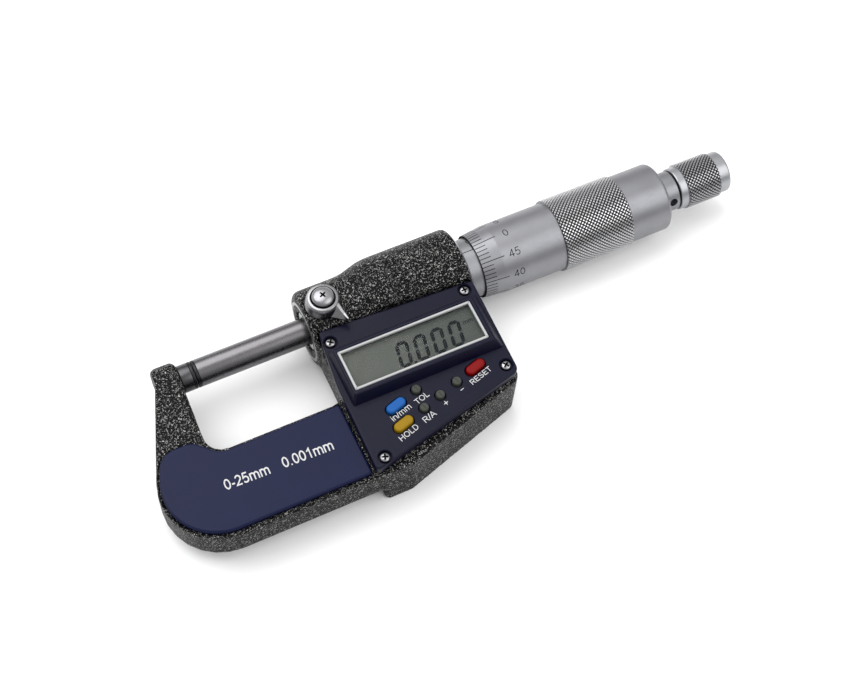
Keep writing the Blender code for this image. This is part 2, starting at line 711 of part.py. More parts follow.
def make_knob():
    """The ratchet's grip, hollow behind its front wall for the disc, the spring and the screw."""
    wall_end = 127.6
    turned("ratchet_knob", [
        (KNOB_START_X, KNOB_COLLAR_RADIUS - 0.3), (KNOB_START_X + 0.3, KNOB_COLLAR_RADIUS),
        (KNOB_COLLAR_END_X, KNOB_COLLAR_RADIUS), (KNOB_COLLAR_END_X + 0.3, KNOB_KNURL_RADIUS),
        (KNOB_KNURL_END_X - 0.3, KNOB_KNURL_RADIUS), (KNOB_KNURL_END_X, KNOB_END_RADIUS),
        (KNOB_END_X - 0.6, KNOB_END_RADIUS), (KNOB_END_X, KNOB_END_RADIUS - 0.6),
    ], "satin_chrome", inner=[
        (KNOB_START_X, 1.9), (wall_end, 1.9), (wall_end, KNOB_INNER_RADIUS),
        (KNOB_END_X, KNOB_INNER_RADIUS),
    ], steps=40)


# ---------------------------------------------------------------- spindle lock


def phillips_recess(name, x, y, low, reach, width):
    """Two crossed blocks, turned off the axes as a driven screw stops."""
    blocks = []
    for turn in (0, 90):
        bar = stadium(x, y, 2 * reach, width, math.radians(turn + 25), steps=2)
        blocks.append(plate(f"{name}_recess_{turn}", bar, low, low + 5, None))
    return blocks


def make_lock():
    """The lever turns an eccentric pin that wedges the spindle in its bush."""
    centre = (LOCK_X, 0, 0)
    pin_outer = [(SPINDLE_RADIUS + GAP, LOCK_PIN_RADIUS), (LOCK_SEAT_Z - 0.2, LOCK_PIN_RADIUS)]
    turned("lock_pin", pin_outer, "brass", axis="Z", centre=centre, steps=24)
    bottom = LOCK_SEAT_Z + GAP
    lever = turned("lock_lever", [
        (bottom, LOCK_HUB_RADIUS - 0.2), (bottom + 0.2, LOCK_HUB_RADIUS),
        (bottom + 1.1, LOCK_HUB_RADIUS - 0.05), (LOCK_HUB_TOP_Z - 0.9, LOCK_HUB_RADIUS - 0.28),
        (LOCK_HUB_TOP_Z - 0.2, LOCK_HUB_RADIUS - 0.5), (LOCK_HUB_TOP_Z, LOCK_HUB_RADIUS - 0.7),
    ], "polished_steel", inner=[
        (bottom, 1.3), (LOCK_RECESS_Z, 1.3), (LOCK_RECESS_Z, LOCK_RECESS_RADIUS),
        (LOCK_HUB_TOP_Z, LOCK_RECESS_RADIUS),
    ], axis="Z", centre=centre, steps=32)
    join(lever, plate("lever_finger", lever_finger_outline(), bottom + 0.45, LOCK_HUB_TOP_Z - 0.9, None))
    screw = turned("lock_screw", [
        (LOCK_SEAT_Z + 0.2, 1.0), (LOCK_RECESS_Z + GAP, 1.0), (LOCK_RECESS_Z + GAP, LOCK_SCREW_RADIUS),
        (LOCK_HUB_TOP_Z + 0.15, LOCK_SCREW_RADIUS), (LOCK_HUB_TOP_Z + 0.8, 2.1),
        (LOCK_HUB_TOP_Z + 1.2, 1.3), (LOCK_HUB_TOP_Z + 1.3, 0.6),
    ], "polished_steel", axis="Z", centre=centre, steps=24)
    cut(screw, *phillips_recess("lock_screw", LOCK_X, 0, LOCK_HUB_TOP_Z + 0.35, 1.1, 0.5))


def lever_finger_outline():
    """A pointed finger whose sides leave the hub at a tangent, with a small round tip."""
    tip_radius = 0.6
    tip_at = LOCK_REACH - tip_radius
    root_radius = 3.4
    side = math.acos((root_radius - tip_radius) / tip_at)
    points = []
    for k in range(9):
        around = side * (2 * k / 8 - 1)
        points.append((tip_at + tip_radius * math.cos(around), tip_radius * math.sin(around)))
    points.append((root_radius * math.cos(side), root_radius * math.sin(side)))
    points.append((2.4, 0.8))
    points.append((2.4, -0.8))
    points.append((root_radius * math.cos(side), -root_radius * math.sin(side)))
    cos, sin = math.cos(LOCK_ANGLE), math.sin(LOCK_ANGLE)
    return [(LOCK_X + u * cos - v * sin, u * sin + v * cos) for u, v in points]


# ---------------------------------------------------------------- cover, display and keys


def make_cover():
    cover = plate("display_cover", cover_outline(), COVER_BOTTOM_Z, COVER_TOP_Z, "navy_plastic")
    bevel(cover, 0.35)
    join(cover, frustum("mesa", MESA_BASE, MESA_TOP, COVER_TOP_Z - 0.4, MESA_TOP_Z))
    opening = block("display_opening", (DISPLAY_LEFT_X - 0.15, DISPLAY_BOTTOM_Y - 0.15, 0),
                    (DISPLAY_RIGHT_X + 0.15, DISPLAY_TOP_Y + 0.15, 20))
    recess = plate("key_recess", rounded([
        (31.6, -25.2, 0.5), (31.6, -37.8, 0.5), (34.0, -38.0, 0.5), (60.4, -31.0, 0.5), (61.0, -25.2, 0.5),
    ]), 0, KEY_RECESS_Z, None)
    cut(cover, opening, recess)
    for number, (x, y) in enumerate(COVER_SCREWS, 1):
        cut(cover, turned(f"cover_hole_{number}", [
            (0, SCREW_SHANK_RADIUS + GAP), (SCREW_SEAT_Z, SCREW_SHANK_RADIUS + GAP),
            (SCREW_SEAT_Z, SCREW_HEAD_RADIUS + 0.15), (20, SCREW_HEAD_RADIUS + 0.15),
        ], None, axis="Z", centre=(x, y, 0), steps=20))
    for name, x, y, length, width, _ in KEYS:
        outline = stadium(x, y, length + 0.4, width + 0.4, KEY_ANGLE)
        cut(cover, plate(f"{name}_opening", outline, 0, 20, None))


def make_display():
    def shrunk(by):
        return rectangle(DISPLAY_LEFT_X + by, DISPLAY_RIGHT_X - by,
                         DISPLAY_BOTTOM_Y + by, DISPLAY_TOP_Y - by)

    bezel = plate("display_bezel", shrunk(0), BEZEL_BOTTOM_Z, MESA_TOP_Z + 0.1, "white_line")
    cut(bezel, plate("bezel_opening", shrunk(BEZEL_LINE), 0, 20, None))
    plate("display_window", shrunk(BEZEL_LINE + 0.1), BEZEL_BOTTOM_Z - 0.2, BEZEL_BOTTOM_Z + 0.4,
          "clear_window")
    plate("lcd_panel", shrunk(0.3), LCD_BOTTOM_Z, LCD_TOP_Z, "lcd_glass")
    block("zebra_strip", (31, -23.1, 4.4), (60, -21.5, 7.7), "black_rubber")


def make_keys():
    for name, x, y, length, width, colour in KEYS:
        top = stadium(x, y, length, width, KEY_ANGLE)
        key = plate(name, top, KEY_FLANGE_BOTTOM_Z + 0.2, KEY_TOP_Z, colour)
        flange = stadium(x, y, length + 2 * KEY_FLANGE, width + 2 * KEY_FLANGE, KEY_ANGLE)
        flange_top = KEY_FLANGE_BOTTOM_Z + 0.4
        join(key, plate(f"{name}_flange", flange, KEY_FLANGE_BOTTOM_Z, flange_top, None))


def make_cover_screws():
    for number, (x, y) in enumerate(COVER_SCREWS, 1):
        screw = turned(f"cover_screw_{number}", [
            (1.6, SCREW_SHANK_RADIUS), (7.1, SCREW_SHANK_RADIUS), (7.1, SCREW_HEAD_RADIUS),
            (7.7, SCREW_HEAD_RADIUS), (8.1, SCREW_HEAD_RADIUS - 0.5),
        ], "polished_steel", axis="Z", centre=(x, y, 0), steps=14)
        cut(screw, *phillips_recess(f"cover_screw_{number}", x, y, 7.5, 0.85, 0.4))


# ---------------------------------------------------------------- electronics


def make_electronics():
    board = plate("main_board", pocket_outline(0.4), BOARD_BOTTOM_Z, BOARD_TOP_Z, "board_green")
    cut(board, block("board_flex_notch", (44.8, -14, 0), (48.4, -8, 10)))
    plate("keypad_mat", rounded([
        (32.0, -25.6, 0.4), (32.0, -37.4, 0.4), (34.2, -37.6, 0.4), (59.2, -30.6, 0.4), (60.6, -25.6, 0.4),
    ]), BOARD_TOP_Z + GAP, COVER_BOTTOM_Z - 0.1, "black_rubber")
    block("processor_chip", (33.5, -20.5, 1.4), (40.5, -14.5, CHIP_TOP_Z), "black_rubber")
    can_outline = stadium(58.5, -17, 6.0, 2.2, 0)
    bevel(plate("crystal_can", can_outline, 0.4, CHIP_TOP_Z, "polished_steel"), 0.3)


def make_battery():
    centre = (BATTERY_X, BATTERY_Y, 0)
    shoulder_z = BATTERY_BOTTOM_Z + 1.0
    turned("battery", [
        (BATTERY_BOTTOM_Z, BATTERY_RADIUS - 0.9), (shoulder_z, BATTERY_RADIUS - 0.9),
        (shoulder_z, BATTERY_RADIUS), (BATTERY_TOP_Z - 0.3, BATTERY_RADIUS),
        (BATTERY_TOP_Z, BATTERY_RADIUS - 0.3),
    ], "polished_steel", axis="Z", centre=centre, steps=24)
    # (z, x) section of the positive leaf: flat on the cell, then up to the board.
    leaf_top, leaf_end = CONTACT_BOTTOM_Z + GAP, 55.5
    plate("battery_contact", [
        (CONTACT_BOTTOM_Z, 44.0), (leaf_top, 44.0), (leaf_top, leaf_end - 0.3),
        (CHIP_TOP_Z, leaf_end - 0.3), (CHIP_TOP_Z, leaf_end), (CONTACT_BOTTOM_Z, leaf_end),
    ], -25.0, -22.0, "polished_steel", axis="Y")
    cap_back = BACK_Z + 0.2
    cap = turned("battery_cap", [
        (cap_back, BATTERY_CAP_RADIUS - 0.3), (cap_back + 0.3, BATTERY_CAP_RADIUS),
        (BATTERY_CAP_LEDGE_Z, BATTERY_CAP_RADIUS), (BATTERY_CAP_LEDGE_Z, 5.4), (-7.5, 5.4),
    ], "dark_navy", axis="Z", centre=centre, steps=32)
    slot = stadium(BATTERY_X, BATTERY_Y, 9.0, 1.6, 0, steps=4)
    cut(cap, plate("coin_slot", slot, -12, cap_back + 0.7, None))
    turned("battery_seal", [(-8.25, 6.3), (-8.05, 6.5), (-7.85, 6.5), (-7.65, 6.3)], "black_rubber",
           inner=[(-8.25, 5.9), (-8.05, 5.7), (-7.85, 5.7), (-7.65, 5.9)],
           axis="Z", centre=centre, steps=24)


# ---------------------------------------------------------------- grips


def make_grips():
    for name, low, high in (
        ("front_grip_plate", GRIP_INNER_Z, GRIP_OUTER_Z),
        ("rear_grip_plate", -GRIP_OUTER_Z, -GRIP_INNER_Z),
    ):
        bevel(plate(name, grip_outline(), low, high, "navy_plastic"), 0.3)


clear_scene()
PARTS = add_collection("outside_micrometer")
CUTTERS = add_collection("cutters")
ORIGIN = add_origin()

make_frame()
make_anvil()
make_spindle()
make_guide_bush()
make_encoder()
make_sleeve()
make_thimble()
make_ratchet()
make_lock()
make_cover()
make_display()
make_keys()
make_cover_screws()
make_electronics()
make_battery()
make_grips()
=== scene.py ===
"""Looks of a digital outside micrometer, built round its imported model.

Places are in millimetres from the middle of the measuring faces, with X along the spindle, +Y away
from the bow and +Z out of the display side. ORIGIN and MM turn them into the frame's metres. What
moves keeps its own piece, and each piece is built here at its true size over its CAD node.
"""

import math

import bmesh
import bpy
from mathutils import Matrix, Vector


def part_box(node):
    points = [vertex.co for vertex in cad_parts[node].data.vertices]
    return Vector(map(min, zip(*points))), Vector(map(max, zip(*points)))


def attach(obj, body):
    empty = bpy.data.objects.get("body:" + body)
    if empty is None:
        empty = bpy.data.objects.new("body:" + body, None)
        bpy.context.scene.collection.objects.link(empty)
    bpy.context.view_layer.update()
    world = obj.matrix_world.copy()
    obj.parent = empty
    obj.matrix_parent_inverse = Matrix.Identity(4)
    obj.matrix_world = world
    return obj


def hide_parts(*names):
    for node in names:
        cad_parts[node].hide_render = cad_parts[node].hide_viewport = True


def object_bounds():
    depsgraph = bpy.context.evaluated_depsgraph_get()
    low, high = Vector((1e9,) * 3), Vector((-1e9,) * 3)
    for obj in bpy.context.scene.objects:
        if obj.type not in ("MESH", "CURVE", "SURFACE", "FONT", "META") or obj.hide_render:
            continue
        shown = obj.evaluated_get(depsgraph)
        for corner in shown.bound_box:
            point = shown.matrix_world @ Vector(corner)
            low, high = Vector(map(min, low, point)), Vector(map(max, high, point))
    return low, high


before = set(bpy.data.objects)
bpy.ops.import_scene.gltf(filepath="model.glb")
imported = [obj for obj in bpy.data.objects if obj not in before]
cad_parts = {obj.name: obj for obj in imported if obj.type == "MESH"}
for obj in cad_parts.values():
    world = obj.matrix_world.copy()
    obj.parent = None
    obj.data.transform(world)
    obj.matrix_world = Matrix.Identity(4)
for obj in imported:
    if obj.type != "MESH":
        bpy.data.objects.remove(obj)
CAD_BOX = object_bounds()

MM = 0.001
ANVIL_FACE_X = -0.75
ORIGIN = Vector((
    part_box("anvil_tip")[1].x - MM * ANVIL_FACE_X,
    sum(corner.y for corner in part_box("spindle")) / 2,
    sum(corner.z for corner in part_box("spindle")) / 2,
))


def span(node):
    """Lowest and highest corner of a CAD node, in millimetres from the measuring faces."""
    return tuple((corner - ORIGIN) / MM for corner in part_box(node))


# ---------------------------------------------------------------- outlines and solids


def rounded(corners, step=math.radians(7)):
    """An outline through (x, y, radius) corners, with an arc at each corner that has a radius."""
    points = []
    for i, (x, y, radius) in enumerate(corners):
        corner = Vector((x, y))
        before = (Vector(corners[i - 1][:2]) - corner).normalized()
        after = (Vector(corners[(i + 1) % len(corners)][:2]) - corner).normalized()
        if not radius:
            points.append(corner)
            continue
        half = before.angle(after) / 2
        centre = corner + (before + after).normalized() * radius / math.sin(half)
        first = corner + before * radius / math.tan(half) - centre
        turn = first.angle_signed(corner + after * radius / math.tan(half) - centre)
        count = max(2, math.ceil(abs(turn) / step))
        for k in range(count + 1):
            # angle_signed is clockwise, and a rotation matrix turns anticlockwise.
            points.append(centre + Matrix.Rotation(-turn * k / count, 2) @ first)
    return points


def rectangle(left, right, bottom, top, radius=0):
    corners = [(left, bottom), (right, bottom), (right, top), (left, top)]
    return rounded([(x, y, radius) for x, y in corners])


def stadium(x, y, length, width, angle, steps=12):
    """A bar with round ends, turned by angle about its middle."""
    points = []
    for side in (1, -1):
        for k in range(steps + 1):
            around = math.pi * (k / steps - 0.5)
            across = side * ((length - width) / 2 + math.cos(around) * width / 2)
            upward = side * math.sin(around) * width / 2
            points.append(Vector((x, y)) + Matrix.Rotation(angle, 2) @ Vector((across, upward)))
    return points


def circle(x, y, radius, steps=48):
    return [
        Vector((x + radius * math.cos(math.tau * k / steps), y + radius * math.sin(math.tau * k / steps)))
        for k in range(steps)
    ]


def shrink(outline, by):
    """The outline moved inwards by a distance at every side."""
    area = sum(a.x * b.y - b.x * a.y for a, b in zip(outline, outline[1:] + outline[:1]))
    turn = 1 if area > 0 else -1
    moved = []
    for i, point in enumerate(outline):
        before = point - outline[i - 1]
        after = outline[(i + 1) % len(outline)] - point
        if before.length < 1e-6 or after.length < 1e-6:
            before = after if before.length < 1e-6 else before
            after = before if after.length < 1e-6 else after
        normals = [Vector((-side.y, side.x)).normalized() * turn for side in (before, after)]
        middle = (normals[0] + normals[1]).normalized()
        moved.append(point + middle * by / max(0.3, middle.dot(normals[0])))
    return moved


def soft_edge(radius, top, steps=5):
    """(inset, height) levels of a quarter-round edge that ends at a height."""
    return [
        (radius * (1 - math.cos(math.pi / 2 * k / steps)),
         top - radius * (1 - math.sin(math.pi / 2 * k / steps)))
        for k in range(steps + 1)
    ]


def to_frame(point):
    return ORIGIN + MM * Vector(point)


def on_cylinder(station, around, radius):
    return (station, radius * math.cos(around), radius * math.sin(around))


def new_row(shape, points):
    return [shape.verts.new(to_frame(point)) for point in points]


def bridge(shape, rows):
    """Faces from each row of points to the next, each row closed on itself."""
    for low, high in zip(rows, rows[1:]):
        for i in range(len(low)):
            j = (i + 1) % len(low)
            corners = [low[i], low[j], high[j], high[i]]
            corners = [v for k, v in enumerate(corners) if v is not corners[k - 1]]
            if len(corners) > 2:
                shape.faces.new(corners)


def finished(shape):
    """The shape with its faces turned outwards."""
    bmesh.ops.recalc_face_normals(shape, faces=shape.faces)
    return shape


def ring_solid(rings):
    """A closed solid through rings of points, with a cap on the first and the last."""
    shape = bmesh.new()
    loops = [new_row(shape, ring) for ring in rings]
    bridge(shape, loops)
    shape.faces.new(list(reversed(loops[0])))
    shape.faces.new(loops[-1])
    return finished(shape)


def prism(outline, levels):
    """A solid over an outline. levels lists (inset, height), from the lowest up."""
    return ring_solid([[(p.x, p.y, height) for p in shrink(outline, inset)] for inset, height in levels])


def revolve(profile, steps=96, closed=False):
    """A turned solid about the spindle line, from (station, radius) points."""
    shape = bmesh.new()
    rows = []
    for station, radius in profile:
        if radius < 1e-6:
            rows.append([shape.verts.new(to_frame((station, 0, 0)))] * steps)
            continue
        rows.append(new_row(shape, [
            on_cylinder(station, math.tau * k / steps, radius) for k in range(steps)
        ]))
    bridge(shape, rows + rows[:1] if closed else rows)
    return finished(shape)


def softened(corners, step=math.radians(15)):
    """A turned profile through (station, radius, corner radius) points, as (station, radius)."""
    return [tuple(point) for point in rounded(corners, step)]


def turn_to_z(shape, x, y):
    """Stands a turned solid up, with its axis along Z through (x, y)."""
    turn = Matrix.Translation(to_frame((x, y, 0))) @ Matrix.Rotation(-math.pi / 2, 4, "Y")
    shape.transform(turn @ Matrix.Translation(-ORIGIN))
    return shape


def mesh_of(name, shape):
    """The shape as a mesh. The shape is freed."""
    mesh = bpy.data.meshes.new(name)
    shape.to_mesh(mesh)
    shape.free()
    return mesh


def joined(*shapes):
    """One mesh from shapes that don't touch."""
    whole = bmesh.new()
    for shape in shapes:
        part = mesh_of("part", shape)
        whole.from_mesh(part)
        bpy.data.meshes.remove(part)
    return whole


def new_object(name, data):
    obj = bpy.data.objects.new(name, data)
    bpy.context.scene.collection.objects.link(obj)
    return obj


def apply_modifiers(obj):
    """The object's mesh with its modifiers applied. The object is removed."""
    bpy.context.view_layer.update()
    graph = bpy.context.evaluated_depsgraph_get()
    mesh = bpy.data.meshes.new_from_object(obj.evaluated_get(graph))
    bpy.data.objects.remove(obj, do_unlink=True)
    shape = bmesh.new()
    shape.from_mesh(mesh)
    bpy.data.meshes.remove(mesh)
    return shape


def combine(shape, others, operation):
    """The shape cut by, or joined with, each of the others."""
    obj = new_object("helper", mesh_of("helper", shape))
    helpers = [new_object("helper", mesh_of("helper", other)) for other in others]
    for helper in helpers:
        modifier = obj.modifiers.new("combine", "BOOLEAN")
        modifier.operation = operation
        modifier.object = helper
    result = apply_modifiers(obj)
    for helper in helpers:
        bpy.data.objects.remove(helper, do_unlink=True)
    bmesh.ops.dissolve_degenerate(result, dist=1e-7, edges=result.edges)
    return result


def add_piece(name, shape, material, body, replaces=(), sharp=35, weighted=False):
    """Makes a shape one of the object's pieces, on its body and over its CAD nodes."""
    mesh = mesh_of(name, shape)
    mesh.materials.append(material)
    mesh.shade_smooth()
    mesh.set_sharp_from_angle(angle=math.radians(sharp))
    obj = new_object(name, mesh)
    if weighted:
        modifier = obj.modifiers.new("flat faces stay flat", "WEIGHTED_NORMAL")
        modifier.keep_sharp = True
    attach(obj, body)
    if replaces:
        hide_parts(*replaces)
    return obj


# ---------------------------------------------------------------- materials


def new_material(name, colour, roughness, metallic=0.0):
    material = bpy.data.materials.new(name)
    material.use_nodes = True
    shader = material.node_tree.nodes["Principled BSDF"]
    shader.inputs["Base Color"].default_value = (*colour, 1)
    shader.inputs["Roughness"].default_value = roughness
    shader.inputs["Metallic"].default_value = metallic
    return material, material.node_tree, shader


def millimetres(tree, stretch=(1, 1, 1)):
    """The object's own coordinates in millimetres, each axis scaled by stretch."""
    coordinates = tree.nodes.new("ShaderNodeTexCoord")
    mapping = tree.nodes.new("ShaderNodeMapping")
    mapping.inputs["Scale"].default_value = [s / MM for s in stretch]
    tree.links.new(coordinates.outputs["Object"], mapping.inputs["Vector"])
    return mapping.outputs["Vector"]


def noise_of(tree, vector, scale, detail=2.0, distortion=0.0):
    texture = tree.nodes.new("ShaderNodeTexNoise")
    texture.inputs["Scale"].default_value = scale
    texture.inputs["Detail"].default_value = detail
    texture.inputs["Distortion"].default_value = distortion
    tree.links.new(vector, texture.inputs["Vector"])
    return texture.outputs["Fac"]


def calculate(tree, operation, first, second):
    node = tree.nodes.new("ShaderNodeMath")
    node.operation = operation
    for socket, value in zip(node.inputs, (first, second)):
        if isinstance(value, (int, float)):
            socket.default_value = value
        else:
            tree.links.new(value, socket)
    return node.outputs["Value"]


def map_range(tree, value, from_low, from_high, to_low, to_high):
    node = tree.nodes.new("ShaderNodeMapRange")
    node.interpolation_type = "SMOOTHSTEP"
    limits = {"From Min": from_low, "From Max": from_high, "To Min": to_low, "To Max": to_high}
    for name, number in limits.items():
        node.inputs[name].default_value = number
    tree.links.new(value, node.inputs["Value"])
    return node.outputs["Result"]


def blend_colours(tree, factor, first, second):
    node = tree.nodes.new("ShaderNodeMix")
    node.data_type = "RGBA"
    tree.links.new(factor, node.inputs["Factor"])
    for socket, colour in zip((node.inputs[6], node.inputs[7]), (first, second)):
        if isinstance(colour, tuple):
            socket.default_value = (*colour, 1)
        else:
            tree.links.new(colour, socket)
    return node.outputs[2]


def vary_colour(tree, shader, factor, colour, darkest, lightest):
    """Lets the base colour drift between two shares of itself."""
    darker, lighter = (tuple(min(1, c * share) for c in colour) for share in (darkest, lightest))
    tree.links.new(blend_colours(tree, factor, darker, lighter), shader.inputs["Base Color"])


def vary_gloss(tree, shader, marks, *limits):
    tree.links.new(map_range(tree, marks, *limits), shader.inputs["Roughness"])


def add_bump(tree, shader, height, distance_mm, strength=1.0):
    node = tree.nodes.new("ShaderNodeBump")
    node.inputs["Distance"].default_value = distance_mm * MM
    node.inputs["Strength"].default_value = strength
    tree.links.new(height, node.inputs["Height"])
    tree.links.new(node.outputs["Normal"], shader.inputs["Normal"])


def hammertone():
    """Black casting paint with short worms which stand a little proud; their light grey is a painted
    highlight for the glints on the wrinkled paint.
    """
    material, tree, shader = new_material("hammertone_paint", (0.02, 0.02, 0.02), 0.45)
    place = millimetres(tree)
    vein = noise_of(tree, place, 1.85, 1.0, 0.7)
    away = calculate(tree, "ABSOLUTE", calculate(tree, "SUBTRACT", vein, 0.5), 0)
    ridge = map_range(tree, away, 0.012, 0.03, 1.0, 0.0)
    breaks = map_range(tree, noise_of(tree, place, 2.3, 1.0), 0.47, 0.53, 0.0, 1.0)
    worm_glint_mask = calculate(tree, "MULTIPLY", ridge, breaks)
    # Painted highlight: the worms' light grey stands in for glints on the raised wrinkles.
    paint = blend_colours(tree, worm_glint_mask, (0.002, 0.002, 0.0025), (0.48, 0.475, 0.46))
    tree.links.new(paint, shader.inputs["Base Color"])
    vary_gloss(tree, shader, worm_glint_mask, 0, 1, 0.42, 0.28)
    add_bump(tree, shader, worm_glint_mask, 0.08, 0.7)
    shader.inputs["Specular IOR Level"].default_value = 0.06
    return material


def moulded_plastic(name, colour, roughness, grain=0.012, specular=0.13):
    """Moulded plastic: a fine spark-eroded grain, and slight colour and gloss variation."""
    material, tree, shader = new_material(name, colour, roughness)
    shader.inputs["Specular IOR Level"].default_value = specular
    place = millimetres(tree)
    vary_colour(tree, shader, noise_of(tree, place, 0.12, 3.0), colour, 0.86, 1.14)
    fine = noise_of(tree, place, 9.0, 2.0)
    vary_gloss(tree, shader, fine, 0.3, 0.7, roughness - 0.05, roughness + 0.07)
    add_bump(tree, shader, fine, grain, 0.7)
    return material


def ground_metal(name, colour, roughness, stretch, grain=0.004):
    """Ground or turned metal. stretch sets the lay: high numbers across the tool marks."""
    material, tree, shader = new_material(name, colour, roughness, 1.0)
    marks = noise_of(tree, millimetres(tree, stretch), 1.0, 4.0)
    vary_colour(tree, shader, noise_of(tree, millimetres(tree), 0.25, 3.0), colour, 0.9, 1.08)
    vary_gloss(tree, shader, marks, 0.25, 0.75, roughness - 0.05, roughness + 0.07)
    add_bump(tree, shader, marks, grain, 0.5)
    return material


def knurled_metal(name, valley, crest, valley_radius, crest_radius):
    """Metal with a painted highlight on the crests of a knurl and painted shade in its grooves."""
    material, tree, shader = new_material(name, crest, 0.32, 1.0)
    # The place seen from the spindle line, then without its station, then how far out it lies.
    value = tree.nodes.new("ShaderNodeTexCoord").outputs["Object"]
    for operation, operand, output in (
        ("SUBTRACT", ORIGIN, "Vector"), ("MULTIPLY", (0, 1, 1), "Vector"), ("LENGTH", None, "Value"),
    ):
        node = tree.nodes.new("ShaderNodeVectorMath")
        node.operation = operation
        if operand is not None:
            node.inputs[1].default_value = operand
        tree.links.new(value, node.inputs[0])
        value = node.outputs[output]
    # Painted light: the colour runs from the valley's painted shade to the crest's painted highlight with the
    # distance from the spindle line.
    crest_highlight = map_range(tree, value, valley_radius * MM, crest_radius * MM, 0, 1)
    tree.links.new(blend_colours(tree, crest_highlight, valley, crest), shader.inputs["Base Color"])
    marks = noise_of(tree, millimetres(tree, EVEN_MARKS), 1.0, 3.0)
    vary_gloss(tree, shader, marks, 0.25, 0.75, 0.26, 0.4)
    add_bump(tree, shader, marks, 0.002, 0.5)
    return material


def ink(name, colour, roughness=0.5):
    """Printed or filled lettering, a little uneven as ink is."""
    material, tree, shader = new_material(name, colour, roughness)
    shader.inputs["Specular IOR Level"].default_value = 0.1
    cover = noise_of(tree, millimetres(tree), 6.0, 2.0)
    vary_colour(tree, shader, cover, colour, 0.8, 1.15)
    add_bump(tree, shader, cover, 0.006, 0.5)
    return material


def clear_acrylic():
    material, tree, shader = new_material("clear_acrylic", (0.02, 0.022, 0.022), 0.1)
    shader.inputs["Alpha"].default_value = 0.12
    shader.inputs["Specular IOR Level"].default_value = 0.3
    vary_gloss(tree, shader, noise_of(tree, millimetres(tree), 0.2, 2.0), 0.3, 0.7, 0.08, 0.16)
    return material


def liquid_crystal():
    """The grey-green panel, painted darker towards its right end as a painted reflection gradient."""
    material, tree, shader = new_material("liquid_crystal", (0.1, 0.11, 0.1), 0.45)
    shader.inputs["Specular IOR Level"].default_value = 0.1
    low, high = span("lcd_panel")
    separate = tree.nodes.new("ShaderNodeSeparateXYZ")
    tree.links.new(millimetres(tree), separate.inputs[0])
    left = (ORIGIN.x / MM) + low.x
    right = (ORIGIN.x / MM) + high.x
    along = map_range(tree, separate.outputs["X"], left, right, 0.0, 1.0)
    # Painted reflection: lighter at the left end, darker at the right.
    colour = blend_colours(tree, along, (0.105, 0.114, 0.1), (0.085, 0.096, 0.088))
    tree.links.new(colour, shader.inputs["Base Color"])
    add_bump(tree, shader, noise_of(tree, millimetres(tree), 5.0, 2.0), 0.004, 0.4)
    return material


TURNED_MARKS = (14, 0.6, 0.6)
EVEN_MARKS = (7, 7, 7)
HAMMERTONE = hammertone()
NAVY_PLATE = moulded_plastic("navy_plate", (0.004, 0.0065, 0.031), 0.4)
NAVY_COVER = moulded_plastic("navy_cover", (0.003, 0.0032, 0.0135), 0.36)
GROUND_STEEL = ground_metal("ground_steel", (0.135, 0.13, 0.137), 0.28, (5, 5, 5), 0.0015)
BRIGHT_STEEL = ground_metal("bright_turned_steel", (0.42, 0.43, 0.45), 0.3, TURNED_MARKS, 0.002)
CARBIDE = ground_metal("carbide", (0.03, 0.03, 0.032), 0.38, EVEN_MARKS)
SATIN_CHROME = ground_metal("satin_chrome", (0.232, 0.234, 0.248), 0.42, (6, 1.5, 1.5), 0.002)
# The knurls' crest colours are painted highlights and their valley colours painted shade.
THIMBLE_KNURL = knurled_metal("thimble_knurl", (0.13, 0.13, 0.135), (0.53, 0.53, 0.54), 8.65, 8.98)
KNOB_KNURL = knurled_metal("knob_knurl", (0.06, 0.06, 0.065), (0.38, 0.38, 0.39), 5.34, 5.63)
KNOB_STEEL = ground_metal("knob_steel", (0.33, 0.335, 0.35), 0.36, EVEN_MARKS, 0.002)
ANVIL_STEEL = ground_metal("anvil_steel", (0.07, 0.068, 0.072), 0.28, (5, 5, 5), 0.0015)
LOCK_STEEL = ground_metal("lock_steel", (0.26, 0.26, 0.27), 0.3, (5, 5, 5), 0.003)
SCREW_STEEL = ground_metal("screw_steel", (0.28, 0.28, 0.29), 0.3, (5, 5, 5), 0.003)
POLISHED_STEEL = ground_metal("polished_steel", (0.4, 0.4, 0.41), 0.24, EVEN_MARKS, 0.003)
BRASS = ground_metal("turned_brass", (0.5, 0.34, 0.14), 0.28, TURNED_MARKS)
WHITE_INK = ink("white_ink", (0.5, 0.5, 0.5))
SCALE_INK = ink("scale_ink", (0.006, 0.006, 0.007), 0.6)
SEGMENT_INK = ink("segment_ink", (0.004, 0.007, 0.009), 0.5)
SILVER_LINE = ink("silver_line", (0.38, 0.385, 0.39), 0.4)
# Painted shade: a dark material for recesses, grooves and gaps where shade falls.
PAINTED_SHADE = ground_metal("painted_recess_shade", (0.02, 0.02, 0.021), 0.6, EVEN_MARKS)
BLUE_KEY = moulded_plastic("blue_key", (0.008, 0.08, 0.29), 0.4)
YELLOW_KEY = moulded_plastic("yellow_key", (0.23, 0.135, 0.003), 0.4)
RED_KEY = moulded_plastic("red_key", (0.16, 0.0005, 0.0005), 0.4)
GREY_KEY = moulded_plastic("grey_key", (0.045, 0.049, 0.041), 0.55)
RUBBER = moulded_plastic("black_rubber", (0.01, 0.01, 0.01), 0.65, 0.03)
CIRCUIT_BOARD = moulded_plastic("solder_mask", (0.01, 0.09, 0.035), 0.4, 0.02)
AMBER_FILM = moulded_plastic("amber_film", (0.3, 0.13, 0.025), 0.25, 0.005)
CHIP = moulded_plastic("chip_resin", (0.015, 0.015, 0.017), 0.6, 0.02)
ACRYLIC = clear_acrylic()
LCD = liquid_crystal()

